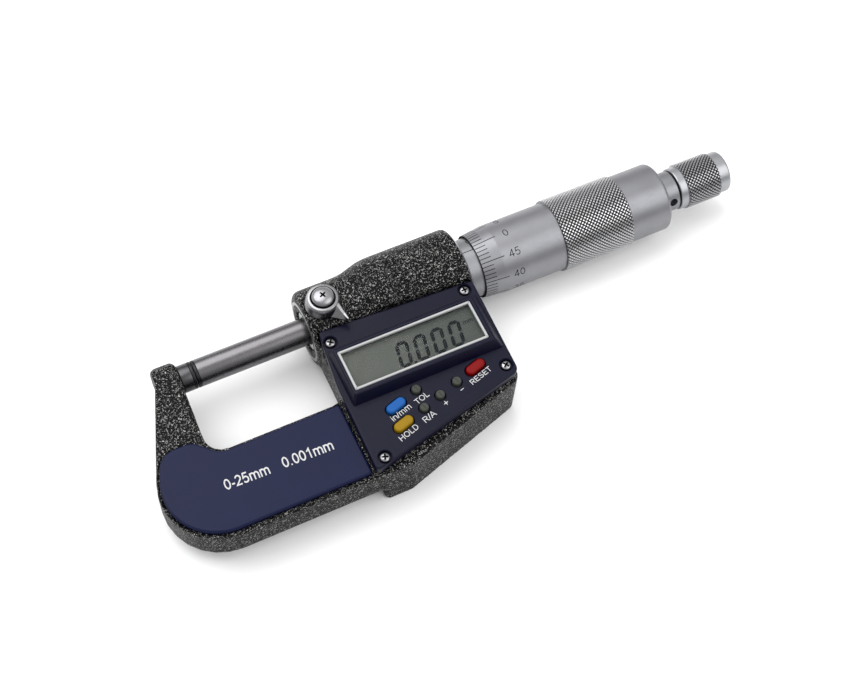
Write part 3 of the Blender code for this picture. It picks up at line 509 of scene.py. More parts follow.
# CAD nodes that keep their own shape, all of them inside the tool or turned to full detail already.
KEPT_NODES = {
    "guide_bush": BRIGHT_STEEL, "encoder_stator": CIRCUIT_BOARD, "encoder_flex": AMBER_FILM,
    "rotor_spring": POLISHED_STEEL, "rotor_thrust_ring": GROUND_STEEL, "inner_sleeve": BRASS,
    "adjusting_nut": GROUND_STEEL, "sleeve_set_screw": POLISHED_STEEL, "zebra_strip": RUBBER,
    "keypad_mat": RUBBER, "main_board": CIRCUIT_BOARD, "processor_chip": CHIP,
    "crystal_can": POLISHED_STEEL, "battery": POLISHED_STEEL, "battery_contact": POLISHED_STEEL,
    "battery_seal": RUBBER, "encoder_rotor": BRASS, "rotor_key": GROUND_STEEL,
    "ratchet_disc": GROUND_STEEL, "ratchet_spring": POLISHED_STEEL, "lock_pin": BRASS,
}


def paint_kept_nodes():
    for name, material in KEPT_NODES.items():
        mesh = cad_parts[name].data
        mesh.materials.clear()
        mesh.materials.append(material)


# ---------------------------------------------------------------- casting

REMESH_VOXEL = 0.33
BARREL_LEFT_X = 26.7
BARREL_RIGHT_X = 66.2
BACK_Z = -9.5


def make_casting():
    """The casting, with its edges rounded as sand leaves them."""
    obj = new_object("helper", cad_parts["frame"].data.copy())
    weld = obj.modifiers.new("weld", "WELD")
    weld.merge_threshold = 1e-6
    remesh = obj.modifiers.new("remesh", "REMESH")
    remesh.mode = "VOXEL"
    remesh.voxel_size = REMESH_VOXEL * MM
    smooth = obj.modifiers.new("smooth", "SMOOTH")
    smooth.factor = 0.5
    smooth.iterations = 5
    shape = apply_modifiers(obj)
    return add_piece("frame_casting", shape, HAMMERTONE, "frame_assembly", ["frame"], sharp=180)


def make_barrel_rings():
    """The casting's two machined ends: a flat face round the spindle, a fine lip at the sleeve."""
    left = BARREL_LEFT_X
    face = revolve(softened([
        (left - 0.05, 6.6, 0.05), (left - 0.05, 7.35, 0.1), (left + 0.3, 7.4, 0), (left + 0.3, 6.6, 0),
    ]), closed=True)
    add_piece("barrel_face_ring", face, SCREW_STEEL, "frame_assembly")
    right = BARREL_RIGHT_X
    lip = revolve(softened([
        (right - 0.6, 7.62, 0), (right + 0.03, 7.62, 0), (right + 0.03, 10.5, 0.1), (right - 0.35, 10.95, 0),
        (right - 0.6, 10.6, 0),
    ]), closed=True)
    below_back = ring_solid([rectangle_at(63, 69, -15, 15, z) for z in (BACK_Z - 4.5, BACK_Z + 0.1)])
    lip = combine(lip, [below_back], "DIFFERENCE")
    add_piece("barrel_rear_lip", lip, BRIGHT_STEEL, "frame_assembly")


# ---------------------------------------------------------------- spindle line

KEYWAY_START_X = 26.6
KEYWAY_END_X = 54.0


def make_anvil():
    low, high = span("anvil")
    radius = high.y
    pin = revolve(softened([
        (low.x, 0, 0), (low.x, 2.5, 0.2), (-4.0, 2.5, 0), (-4.0, radius, 0.12), (high.x, radius, 0.05),
        (high.x, 0, 0),
    ]))
    add_piece("anvil_pin", pin, ANVIL_STEEL, "frame_assembly", ["anvil"])
    low, high = span("anvil_tip")
    tip = revolve(softened([(low.x, 0, 0), (low.x, radius, 0.03), (high.x, radius, 0.1), (high.x, 0, 0)]))
    add_piece("anvil_carbide", tip, CARBIDE, "frame_assembly", ["anvil_tip"])


def make_spindle():
    low, high = span("spindle_tip")
    radius = high.y
    tip = revolve(softened([(low.x, 0, 0), (low.x, radius, 0.1), (high.x, radius, 0.03), (high.x, 0, 0)]))
    add_piece("spindle_carbide", tip, CARBIDE, "spindle_assembly", ["spindle_tip"])
    low, high = span("spindle")
    thread_start, thread_end, pitch, depth = 60.3, 106.0, 0.5, 0.28
    profile = softened([(low.x, 0, 0), (low.x, radius, 0.08), (thread_start - 0.8, radius, 0)])
    turns = round((thread_end - thread_start) / pitch)
    for k in range(turns):
        station = thread_start + k * pitch
        profile += [(station, high.y - depth), (station + pitch / 2, high.y)]
    profile += [(thread_end, radius), (high.x, radius), (high.x, 2.0), (110, 2.0), (110, 0)]
    bar = revolve(profile, steps=64)
    keyway = ring_solid([rectangle_at(KEYWAY_START_X, KEYWAY_END_X, -0.6, 0.6, z) for z in (-6.0, -2.5)])
    bar = combine(bar, [keyway], "DIFFERENCE")
    add_piece("spindle_bar", bar, GROUND_STEEL, "spindle_assembly", ["spindle"])


def rectangle_at(left, right, bottom, top, height):
    return [(left, bottom, height), (right, bottom, height), (right, top, height), (left, top, height)]


# ---------------------------------------------------------------- scales

ZERO_ANGLE = math.radians(83)
DATUM_ANGLE = math.radians(86)
DIVISIONS = 50
LINE_WIDTH = 0.19
LINE_DEPTH = 0.06
LINE_PROUD = 0.012


def arc(x, y, half_width, half_height, start, end, steps=12):
    """Points on an ellipse, from one angle to another in degrees."""
    points = []
    for k in range(steps + 1):
        around = math.radians(start + (end - start) * k / steps)
        points.append((x + half_width * math.cos(around), y + half_height * math.sin(around)))
    return points


# Plain upright lettering: each glyph's advance and its strokes, with capitals 1 high.
GLYPHS = {
    "0": (0.78, [arc(0.39, 0.5, 0.27, 0.44, 90, 450, 24)]),
    "1": (0.78, [[(0.17, 0.70), (0.46, 0.95), (0.46, 0.0)]]),
    "2": (0.78, [arc(0.38, 0.68, 0.26, 0.26, 165, -35) + [(0.11, 0.06), (0.67, 0.06)]]),
    "3": (0.78, [arc(0.37, 0.72, 0.23, 0.22, 150, -80) + arc(0.37, 0.28, 0.28, 0.22, 75, -150)]),
    "4": (0.78, [[(0.52, 0.0), (0.52, 0.97)], [(0.52, 0.94), (0.08, 0.29), (0.72, 0.29)]]),
    "5": (0.78, [[(0.64, 0.94), (0.22, 0.94), (0.15, 0.52)] + arc(0.37, 0.33, 0.28, 0.27, 118, -150)]),
    "-": (0.46, [[(0.06, 0.34), (0.40, 0.34)]]),
    ".": (0.39, [[(0.19, 0.0), (0.19, 0.13)]]),
    "/": (0.39, [[(0.02, -0.02), (0.37, 1.02)]]),
    "+": (0.82, [[(0.05, 0.36), (0.77, 0.36)], [(0.41, 0.0), (0.41, 0.72)]]),
    "i": (0.31, [[(0.155, 0.0), (0.155, 0.72)], [(0.155, 0.88), (0.155, 1.0)]]),
    "n": (0.78, [[(0.14, 0.0), (0.14, 0.72)], arc(0.39, 0.46, 0.25, 0.21, 180, 0) + [(0.64, 0.0)]]),
    "m": (1.16, [
        [(0.14, 0.0), (0.14, 0.72)], arc(0.36, 0.46, 0.22, 0.21, 180, 0) + [(0.58, 0.0)],
        arc(0.80, 0.46, 0.22, 0.21, 180, 0) + [(1.02, 0.0)],
    ]),
    "A": (0.93, [[(0.04, 0.0), (0.465, 0.96), (0.89, 0.0)], [(0.2, 0.32), (0.73, 0.32)]]),
    "D": (1.01, [[(0.17, 0.06), (0.17, 0.94)] + arc(0.46, 0.5, 0.39, 0.44, 90, -90) + [(0.17, 0.06)]]),
    "E": (0.93, [[(0.83, 0.94), (0.17, 0.94), (0.17, 0.06), (0.86, 0.06)], [(0.17, 0.52), (0.78, 0.52)]]),
    "H": (1.01, [[(0.17, 0.0), (0.17, 1.0)], [(0.84, 0.0), (0.84, 1.0)], [(0.17, 0.53), (0.84, 0.53)]]),
    "L": (0.78, [[(0.16, 1.0), (0.16, 0.06), (0.71, 0.06)]]),
    "O": (1.09, [arc(0.545, 0.5, 0.42, 0.45, 90, 450, 28)]),
    "R": (1.01, [
        [(0.17, 0.0), (0.17, 0.94)] + arc(0.6, 0.715, 0.24, 0.225, 90, -90) + [(0.17, 0.49)],
        [(0.52, 0.5), (0.9, 0.0)],
    ]),
    "S": (0.93, [arc(0.46, 0.73, 0.3, 0.21, 20, 240) + arc(0.47, 0.28, 0.33, 0.23, 65, -165)]),
    "T": (0.85, [[(0.03, 0.94), (0.82, 0.94)], [(0.425, 0.94), (0.425, 0.0)]]),
}


def ribbon(points, width, place, low=-LINE_DEPTH, high=LINE_PROUD):
    """A closed strip along points. place turns (u, v, height) into a point on the surface."""
    clean = [Vector(points[0])]
    for point in points[1:]:
        if (Vector(point) - clean[-1]).length > 1e-4:
            clean.append(Vector(point))
    looped = (clean[0] - clean[-1]).length < 1e-3
    if looped:
        clean.pop()
    shape = bmesh.new()
    rows = []
    last = len(clean) - 1
    for i, point in enumerate(clean):
        before = (point - clean[i - 1]).normalized() if i or looped else None
        after = (clean[(i + 1) % len(clean)] - point).normalized() if i < last or looped else None
        before, after = before or after, after or before
        normals = [Vector((-side.y, side.x)) for side in (before, after)]
        middle = (normals[0] + normals[1]).normalized()
        reach = width / 2 / max(0.45, middle.dot(normals[0]))
        left, right = point + middle * reach, point - middle * reach
        corners = ((left, low), (right, low), (right, high), (left, high))
        rows.append(new_row(shape, [place(p.x, p.y, height) for p, height in corners]))
    bridge(shape, rows + rows[:1] if looped else rows)
    if not looped:
        shape.faces.new(rows[0])
        shape.faces.new(list(reversed(rows[-1])))
    return finished(shape)


def finely(points, step=0.25):
    """The same line with points close enough to follow a round surface."""
    fine = [Vector(points[0])]
    for end in points[1:]:
        start = fine[-1].copy()
        count = max(1, math.ceil((Vector(end) - start).length / step))
        fine += [start.lerp(Vector(end), k / count) for k in range(1, count + 1)]
    return fine


def text_strokes(text, height):
    """The strokes of each glyph of a text, in millimetres from the left end of its baseline."""
    glyphs, left = [], 0.0
    for letter in text:
        advance, strokes = GLYPHS[letter]
        glyphs.append([[((left + u) * height, v * height) for u, v in stroke] for stroke in strokes])
        left += advance
    return glyphs, left * height


def figures_at(text, height, station, across):
    """The strokes of a number on a round scale, centred on a station and a distance round it."""
    glyphs, width = text_strokes(text, height)
    return [
        [(station + u - width / 2, across + v - height / 2) for u, v in stroke]
        for glyph in glyphs for stroke in glyph
    ]


def make_sleeve():
    low, high = span("sleeve")
    radius = high.y
    tube = revolve(softened([
        (low.x, 5.8, 0), (low.x, radius, 0.1), (high.x, radius, 0.2), (high.x, 5.8, 0),
    ]), closed=True)
    add_piece("sleeve_tube", tube, SATIN_CHROME, "frame_assembly", ["sleeve"])

    def place(station, across, height):
        return on_cylinder(station, DATUM_ANGLE - across / radius, radius + height)

    rim = span("thimble")[0].x
    lines = [[(BARREL_RIGHT_X + 0.1, 0), (high.x - 0.6, 0)]]
    for k in range(51):
        station = rim + k * 0.5
        side = 1 if k % 2 == 0 else -1
        reach = (1.9 if k % 10 == 0 else 1.2) if side == 1 else 1.0
        lines.append([(station, 0), (station, side * reach)])
    for value in range(0, 26, 5):
        lines += figures_at(str(value), 1.5, rim + value, 3.0)
    strips = [ribbon(finely(line), LINE_WIDTH, place) for line in lines]
    add_piece("sleeve_scale", joined(*strips), SCALE_INK, "frame_assembly")


# The thimble's bevelled rim, which carries the graduations, and its bore.
RIM_RADIUS = 7.8
BEVEL_END_X = 75.3
THIMBLE_RADIUS = 8.45
THIMBLE_BORE_END_X = 113.4
LONG_LINE_END_X = 75.9
SHORT_LINE_END_X = 72.85
FIGURE_X = 78.6
FIGURE_HEIGHT = 1.95
KNURL_RADIUS = 9.0
KNURL_DIAMONDS = 56
KNURL_DEPTH = 0.4


def knurl_height(u, v):
    """Height from 0 to 1 of a diamond knurl, with u and v in quarter pitches."""
    first, second = (u + v) % 4, (u - v) % 4
    return min(1, min(first, 4 - first), min(second, 4 - second))


def knurled_band(shape, start, end, radius, depth, diamonds):
    """Adds rows of a diamond knurl to a shape: flat-topped diamonds between crossing grooves."""
    quarter = math.tau * radius / diamonds / 4
    rows = round((end - start) / quarter / 4) * 4
    steps = diamonds * 4
    made = []
    for u in range(rows + 1):
        station = start + (end - start) * u / rows
        made.append(new_row(shape, [
            on_cylinder(station, math.tau * v / steps, radius - depth * (1 - knurl_height(u, v)))
            for v in range(steps)
        ]))
    for u in range(rows):
        for v in range(steps):
            w = (v + 1) % steps
            a, b, c, d = made[u][v], made[u + 1][v], made[u + 1][w], made[u][w]
            peaks = [corner for corner in ((u, v), (u + 1, v), (u + 1, v + 1), (u, v + 1))
                     if (corner[0] + corner[1]) % 4 == 2 and (corner[0] - corner[1]) % 4 == 2]
            slants_up = (u + v) % 2 == 0
            if slants_up == (not peaks):
                shape.faces.new((a, b, c))
                shape.faces.new((a, c, d))
            else:
                shape.faces.new((a, b, d))
                shape.faces.new((b, c, d))
    return made[0], made[-1]


def turned_with_knurl(before, after, start, end, radius, depth, diamonds):
    """A turned solid whose outside runs before, the knurl, after; the profile closes on itself."""
    shape = bmesh.new()
    steps = diamonds * 4
    first, last = knurled_band(shape, start, end, radius, depth, diamonds)

    def rows_of(profile):
        return [
            new_row(shape, [on_cylinder(station, math.tau * v / steps, r) for v in range(steps)])
            for station, r in profile
        ]

    bridge(shape, [last] + rows_of(after) + rows_of(before) + [first])
    return finished(shape)


def make_thimble():
    low, high = span("thimble")
    radius, bore, waist, start, end = THIMBLE_RADIUS, 7.55, 3.45, 91.3, 109.1
    bore_end = THIMBLE_BORE_END_X
    before = [(bore_end, waist), (bore_end, bore), (low.x, bore)] + softened([
        (low.x - 1, RIM_RADIUS, 0), (low.x, RIM_RADIUS, 0), (BEVEL_END_X, radius, 1.5),
        (start - 0.12, radius, 0), (start - 0.12, 9, 0),
    ])[1:-1]
    after = softened([
        (end, radius, 0), (end + 0.4, radius, 0), (high.x, radius, 0.95), (high.x, waist, 0),
        (bore_end, waist, 0),
    ])[1:-1]
    shape = turned_with_knurl(before, after, start, end, KNURL_RADIUS, KNURL_DEPTH, KNURL_DIAMONDS)
    piece = add_piece("thimble_shell", shape, SATIN_CHROME, "spindle_assembly", ["thimble"],
                      sharp=30)
    paint_between(piece, THIMBLE_KNURL, start, end, 8)

    def place(station, across, height):
        share = min(1, max(0, (station - low.x) / (BEVEL_END_X - low.x)))
        surface = RIM_RADIUS + (radius - RIM_RADIUS) * share
        return on_cylinder(station, ZERO_ANGLE - across / radius, surface + height)

    lines = []
    for value in range(DIVISIONS):
        across = math.tau * radius * value / DIVISIONS
        reach = LONG_LINE_END_X if value % 5 == 0 else SHORT_LINE_END_X
        lines.append([(low.x + 0.12, across), (reach, across)])
        if value % 5 == 0:
            lines += figures_at(str(value), FIGURE_HEIGHT, FIGURE_X, across)
    strips = [ribbon(finely(line), LINE_WIDTH, place) for line in lines]
    add_piece("thimble_scale", joined(*strips), SCALE_INK, "spindle_assembly")
    rim = revolve([
        (low.x - 0.02, 7.56), (low.x - 0.02, 7.82), (low.x + 0.09, 7.83), (low.x + 0.09, 7.56),
    ], closed=True)
    add_piece("thimble_rim_line", rim, SCALE_INK, "spindle_assembly")


SPANNER_HOLE_X = 122.6
SPANNER_HOLE_ANGLE = math.radians(158)
SPANNER_HOLE_RADIUS = 1.05


def make_ratchet():
    low, high = span("ratchet_body")
    ring_start, ring_end = 120.5, 124.5
    body = revolve(softened([
        (low.x, 0, 0), (low.x, 1.7, 0.1), (ring_start, 1.7, 0), (ring_start, 4.9, 0.2), (ring_end, 4.9, 0.2),
        (ring_end, 1.6, 0), (high.x, 1.6, 0.1), (high.x, 1.05, 0), (130.2, 1.05, 0), (130.2, 0, 0),
    ]), steps=72)
    hole = turned_hole(SPANNER_HOLE_X, SPANNER_HOLE_ANGLE, SPANNER_HOLE_RADIUS, 3.0, 8.0)
    body = combine(body, [hole], "DIFFERENCE")
    piece = add_piece("ratchet_stem", body, SATIN_CHROME, "spindle_assembly",
                      ["ratchet_body"])
    # Painted shade: the stem between the ring and the knob is dark where the gap between them is in shade.
    paint_between(piece, PAINTED_SHADE, ring_end + 0.05, high.x, 0)

    low, high = span("ratchet_knob")
    start, end = 126.9, 135.7
    before = [(127.6, 3.9), (127.6, 1.9), (low.x, 1.9)] + softened([
        (low.x, 1.9, 0), (low.x, 5.25, 0.3), (start - 0.12, 5.25, 0), (start - 0.12, 6, 0),
    ])[1:-1]
    after = softened([
        (end, 5.15, 0), (end + 0.25, 5.15, 0), (high.x, 5.15, 0.7), (high.x, 3.9, 0.15), (127.6, 3.9, 0),
    ])[1:-1]
    knob = turned_with_knurl(before, after, start, end, 5.65, 0.34, 36)
    piece = add_piece("ratchet_grip", knob, KNOB_STEEL, "ratchet_knob", ["ratchet_knob"],
                      sharp=30)
    paint_between(piece, KNOB_KNURL, start, end, 5)

    low, high = span("ratchet_end_screw")
    screw = revolve(softened([
        (low.x, 0, 0), (low.x, 0.75, 0), (135.5, 0.75, 0), (135.5, 3.5, 0.1), (high.x, 3.5, 0.4),
        (high.x, 0, 0),
    ]), steps=72)
    slot = ring_solid([[(137.3, -0.4, z), (142, -0.4, z), (142, 0.4, z), (137.3, 0.4, z)] for z in (-5, 5)])
    screw = combine(screw, [slot], "DIFFERENCE")
    add_piece("ratchet_slotted_screw", screw, POLISHED_STEEL, "spindle_assembly",
              ["ratchet_end_screw"])


def paint_between(piece, material, start, end, least_radius):
    """Gives the faces from one station to another, outside a radius, a material of their own."""
    mesh = piece.data
    mesh.materials.append(material)
    for face in mesh.polygons:
        centre = (face.center - ORIGIN) / MM
        if start <= centre.x <= end and centre.yz.length >= least_radius:
            face.material_index = len(mesh.materials) - 1


def blacken_recess(piece, x, y, bottom, reach):
    """Gives the walls and floor of a screw's recess painted shade: a dark material where the hollow is in
    shade.
    """
    mesh = piece.data
    mesh.materials.append(PAINTED_SHADE)
    middle = Vector((x, y, 0))
    for face in mesh.polygons:
        centre = (face.center - ORIGIN) / MM
        outward = (centre - middle).xy.length
        deep = abs(face.normal.z) < 0.55 or centre.z < bottom + 0.05
        if deep and outward < reach and centre.z > bottom - 0.02:
            face.material_index = 1


def turned_hole(station, around, radius, inner, outer):
    """A round cutter that points outwards from the spindle line."""
    outward = Vector((0, math.cos(around), math.sin(around)))
    side = Vector((1, 0, 0))
    third = outward.cross(side)
    rings = []
    for distance in (inner, outer):
        centre = Vector((station, 0, 0)) + outward * distance
        rings.append([centre + side * p.x + third * p.y for p in circle(0, 0, radius, 28)])
    return ring_solid(rings)


# ---------------------------------------------------------------- lock lever

LOCK_X = 31.5
LOCK_ANGLE = math.radians(-62)


def phillips(x, y, low, high, reach, width, turn):
    """Two crossed tapering blades, as one cutter for each."""
    blades = []
    for quarter in (0, math.pi / 2):
        wide = stadium(x, y, 2 * reach, width, turn + quarter, 4)
        narrow = stadium(x, y, 1.1 * reach, width * 0.7, turn + quarter, 4)
        rings = [[(p.x, p.y, z) for p in ring] for ring, z in ((narrow, low), (wide, high))]
        blades.append(ring_solid(rings))
    return blades


def lever_section(distance, left, right, ridge, low, high):
    """One cross section of the finger: a flat ridge, which gets a painted highlight, and a slope down to its
    left edge.

    left and right are the two edges and ridge the middle of the flat, as distances across.
    """
    flat = 0.4 * (right - ridge) + 0.05
    corners = [
        (left, low, 0.05), (right, low, 0.05), (right, high - 0.45, 0.12), (ridge + flat, high, 0.1),
        (ridge - flat, high, 0.1), (left, low + 0.35, 0.1),
    ]
    points = []
    for across, upward in rounded(corners, math.pi):
        turned = Matrix.Rotation(LOCK_ANGLE, 2) @ Vector((distance, across))
        points.append((LOCK_X + turned.x, turned.y, upward))
    return points


def shade_lever(piece, recess):
    """Painted light and shade on the lever: painted shade on the steep flanks and in the groove round the
    screw, and a painted highlight on the level faces along the finger.
    """
    flank, groove, bright = 1, 2, 3
    level, steep, hub_edge = 0.93, 0.35, 3.9
    # Ground steel on the flanks is painted shade, the dark recess material in the groove is painted shade,
    # and bright turned steel on the level faces is a painted highlight.
    for material in (GROUND_STEEL, PAINTED_SHADE, BRIGHT_STEEL):
        piece.data.materials.append(material)
    hub_middle = Vector((LOCK_X, 0))
    for face in piece.data.polygons:
        centre = (face.center - ORIGIN) / MM
        outward = (centre.xy - hub_middle).length
        if outward < recess + 0.22:
            face.material_index = groove
        elif outward > hub_edge and face.normal.z >= level:
            face.material_index = bright
        elif face.normal.z < steep:
            face.material_index = flank


def make_lock():
    low, high = span("lock_lever")
    recess = 2.75
    hub = turn_to_z(revolve(softened([
        (low.z, 1.3, 0), (low.z, 3.95, 0.1), (low.z + 0.25, 4.15, 0.15), (low.z + 1.2, 4.1, 1.0),
        (high.z - 0.8, 3.85, 1.0), (high.z - 0.1, 3.5, 0.25), (high.z, recess + 0.25, 0.05),
        (high.z - 0.12, recess, 0.05), (high.z - 0.7, recess, 0), (high.z - 0.7, 1.3, 0),
    ]), closed=True), LOCK_X, 0)
    sections = [
        (2.95, -2.0, 1.9, 0.9, 9.9, 12.55), (3.9, -1.7, 1.5, 0.7, 9.9, 12.3),
        (4.9, -1.2, 1.15, 0.45, 9.9, 11.9), (5.9, -0.8, 0.85, 0.25, 9.9, 11.5),
        (6.8, -0.45, 0.55, 0.1, 9.95, 11.15), (7.35, -0.25, 0.3, 0.05, 10.05, 10.95),
    ]
    finger = ring_solid([lever_section(*section) for section in sections])
    lever = combine(hub, [finger], "UNION")
    piece = add_piece("lock_lever_arm", lever, LOCK_STEEL, "spindle_lock", ["lock_lever"],
                      weighted=True)
    shade_lever(piece, recess)

    low, high = span("lock_screw")
    head, radius = 12.3, 2.6
    dome = 1.15
    profile = [(low.z, 0), (low.z, 1.0), (head, 1.0), (head, radius), (high.z - dome - 0.1, radius)]
    for k in range(1, 13):
        around = math.pi / 2 * k / 12
        profile.append((high.z - dome * (1 - math.sin(around)), radius * math.cos(around) ** 0.85))
    screw = turn_to_z(revolve(profile, steps=64), LOCK_X, 0)
    recess = phillips(LOCK_X, 0, high.z - 0.95, high.z + 0.5, 1.05, 0.5, math.radians(25))
    screw = combine(screw, recess, "DIFFERENCE")
    piece = add_piece("lock_domed_screw", screw, LOCK_STEEL, "spindle_lock",
                      ["lock_screw"])
    blacken_recess(piece, LOCK_X, 0, high.z - 0.95, 1.2)


# ---------------------------------------------------------------- cover, display and keys

KEY_ANGLE = math.radians(16.5)
COVER_SCREW_COUNT = 4
KEYS = {
    "unit_button": BLUE_KEY, "hold_button": YELLOW_KEY, "reset_button": RED_KEY, "tolerance_button": GREY_KEY,
    "relative_button": GREY_KEY, "plus_button": GREY_KEY, "minus_button": GREY_KEY,
}


def middle_of(node):
    low, high = span(node)
    return (low + high) / 2


def key_size(node):
    """Length and width of a key's top."""
    return (5.0, 2.3) if KEYS[node] is not GREY_KEY else (2.1, 2.1)


def make_cover():
    low, high = span("display_cover")
    top = 8.0
    outline = rounded([
        (28.0, -5.4, 0.6), (26.3, -20.0, 0), (26.0, -42.05, 1.0), (65.3, -32.6, 2.0), (65.85, -7.2, 0.5),
    ])
    plate = prism(outline, [(0.25, low.z), (0, low.z + 0.25)] + soft_edge(0.4, top))
    mesa = ring_solid([
        [(p.x, p.y, z) for p in rectangle(left, right, bottom, upper, radius)]
        for left, right, bottom, upper, radius, z in (
            (27.6, 64.9, -25.9, -11.1, 0.5, top - 0.6), (27.6, 64.9, -25.9, -11.1, 0.5, top - 0.1),
            (28.35, 63.2, -24.72, -12.28, 0.5, high.z - 0.25),
            (28.5, 62.95, -24.52, -12.48, 0.45, high.z - 0.08),
            (28.72, 62.7, -24.3, -12.7, 0.4, high.z))
    ])
    cover = combine(plate, [mesa], "UNION")
    cutters = []
    left, right = span("display_bezel")
    cutters.append(prism(rectangle(left.x - 0.12, right.x + 0.12, left.y - 0.12, right.y + 0.12, 0.3),
                         [(0, low.z - 1), (0, high.z - 0.1), (-0.15, high.z + 0.1)]))
    for number in range(1, COVER_SCREW_COUNT + 1):
        place = middle_of(f"cover_screw_{number}")
        cutters.append(prism(circle(place.x, place.y, 1.5), [
            (0.45, low.z - 1), (0.45, 6.9), (0, 6.9), (0, top - 0.25), (-0.45, top + 0.25)]))
    for node in KEYS:
        place = middle_of(node)
        length, width = key_size(node)
        cutters.append(prism(stadium(place.x, place.y, length + 0.34, width + 0.34, KEY_ANGLE), [
            (0, low.z - 1), (0, top - 0.18), (-0.3, top + 0.12)]))
    cutters.append(prism(rounded([
        (31.6, -25.2, 0.5), (31.6, -37.8, 0.5), (34.0, -38.0, 0.5), (60.4, -31.0, 0.5), (61.0, -25.2, 0.5),
    ]), [(0, low.z - 1), (0, 6.7)]))
    cover = combine(cover, cutters, "DIFFERENCE")
    add_piece("display_housing_cover", cover, NAVY_COVER, "frame_assembly", ["display_cover"],
              weighted=True)


def make_display():
    low, high = span("display_bezel")
    outer = rectangle(low.x, high.x, low.y, high.y, 0.25)
    line = 0.55
    bar = [
        (0.02, low.z), (0.0, high.z - 0.12), (0.12, high.z), (line - 0.1, high.z), (line, high.z - 0.1),
        (line, low.z),
    ]
    shape = bmesh.new()
    loops = [new_row(shape, [(p.x, p.y, z) for p in shrink(outer, inset)]) for inset, z in bar]
    bridge(shape, loops + loops[:1])
    add_piece("display_silver_frame", finished(shape), SILVER_LINE, "frame_assembly",
              ["display_bezel"])
    low, high = span("display_window")
    pane = prism(rectangle(low.x, high.x, low.y, high.y, 0.2), [(0, low.z)] + soft_edge(0.1, high.z, 3))
    add_piece("display_pane", pane, ACRYLIC, "frame_assembly", ["display_window"])
    low, high = span("lcd_panel")
    levels = [(0, low.z), (0, high.z - 0.1), (0.1, high.z)]
    panel = prism(rectangle(low.x, high.x, low.y, high.y, 0.1), levels)
    add_piece("lcd_glass_panel", panel, LCD, "frame_assembly", ["lcd_panel"])
    make_reading(high.z)


DIGIT_WIDTH = 3.15
DIGIT_HEIGHT = 6.5
DIGIT_STROKE = 0.85
DIGIT_PITCH = 4.32
DIGIT_LEFT = 40.75
DIGIT_BOTTOM = -22.5
DIGIT_SLANT = math.tan(math.radians(10))


def segment(start, end):
    """One six-sided segment of a digit between two of its corners."""
    start, end = Vector(start), Vector(end)
    along = (end - start).normalized()
    side = Vector((-along.y, along.x)) * DIGIT_STROKE / 2
    gap = along * 0.05
    point = along * DIGIT_STROKE / 2
    return [start + gap, start + gap + point + side, end - gap - point + side, end - gap,
            end - gap - point - side, start + gap + point - side]


def thin_solid(points, low, high):
    return ring_solid([[(p[0], p[1], z) for p in points] for z in (low, high)])


def make_reading(top):
    """The reading 0.000 and its unit, as dark segments on the panel."""
    low, high = top - 0.02, top + 0.03
    left, right = DIGIT_STROKE / 2, DIGIT_WIDTH - DIGIT_STROKE / 2
    foot, half, head = DIGIT_STROKE / 2, DIGIT_HEIGHT / 2, DIGIT_HEIGHT - DIGIT_STROKE / 2
    sides = [
        ((left, head), (right, head)), ((right, half), (right, head)), ((right, foot), (right, half)),
        ((left, foot), (right, foot)), ((left, foot), (left, half)), ((left, half), (left, head)),
    ]
    solids = []
    for digit in range(4):
        for start, end in sides:
            outline = [
                (DIGIT_LEFT + digit * DIGIT_PITCH + p.x + p.y * DIGIT_SLANT, DIGIT_BOTTOM + p.y)
                for p in segment(start, end)
            ]
            solids.append(thin_solid(outline, low, high))
    point_x = DIGIT_LEFT + DIGIT_WIDTH + 0.6
    solids.append(thin_solid([(p.x, p.y) for p in circle(point_x, DIGIT_BOTTOM + 0.35, 0.36, 16)], low, high))
    add_piece("display_reading", joined(*solids), SEGMENT_INK, "frame_assembly")
    add_text("display_unit", "mm", (58.4, -17.9), 0, 1.1, 0.16, top, SEGMENT_INK)


def make_keys():
    for node, material in KEYS.items():
        low, high = span(node)
        place = middle_of(node)
        length, width = key_size(node)
        dome = 0.55 if material is not GREY_KEY else 0.35
        outline = stadium(place.x, place.y, length, width, KEY_ANGLE, 14)
        levels = [(-0.45, low.z), (-0.45, low.z + 0.4), (0, low.z + 0.4)] + soft_edge(dome, high.z, 7)
        cap = prism(outline, levels)
        add_piece(node.replace("_button", "_key_cap"), cap, material, node, [node],
                  weighted=True)


def make_cover_screws():
    for number in range(1, COVER_SCREW_COUNT + 1):
        node = f"cover_screw_{number}"
        low, high = span(node)
        place = middle_of(node)
        dome = [(high.z - 0.5 * (1 - math.cos(math.radians(a))), 1.13 * math.sin(math.radians(a)))
                for a in range(90, -1, -10)]
        profile = [(low.z, 0), (low.z, 0.75), (7.1, 0.75), (7.1, 1.13)] + dome
        screw = turn_to_z(revolve(profile, steps=40), place.x, place.y)
        turn = math.radians(20 + 35 * number)
        recess = phillips(place.x, place.y, 7.3, high.z + 0.2, 0.95, 0.46, turn)
        screw = combine(screw, recess, "DIFFERENCE")
        piece = add_piece(f"cover_phillips_{number}", screw, SCREW_STEEL, "frame_assembly",
                          [node])
        blacken_recess(piece, place.x, place.y, 7.3, 1.05)


# ---------------------------------------------------------------- lettering


def add_text(name, text, start, angle, height, width, surface, material, tall=1):
    """Raised lettering on a face that looks along +Z. start is the left end of its baseline."""
    turn = Matrix.Rotation(angle, 2)

    def place(u, v, rise):
        flat = turn @ Vector((u, v * tall))
        return (start[0] + flat.x, start[1] + flat.y, surface + rise)

    solids = []
    for glyph in text_strokes(text, height)[0]:
        strokes = [ribbon(stroke, width, place, -0.05, 0.02) for stroke in glyph]
        solids.append(combine(strokes[0], strokes[1:], "UNION") if len(strokes) > 1 else strokes[0])
    add_piece(name, joined(*solids), material, "frame_assembly")


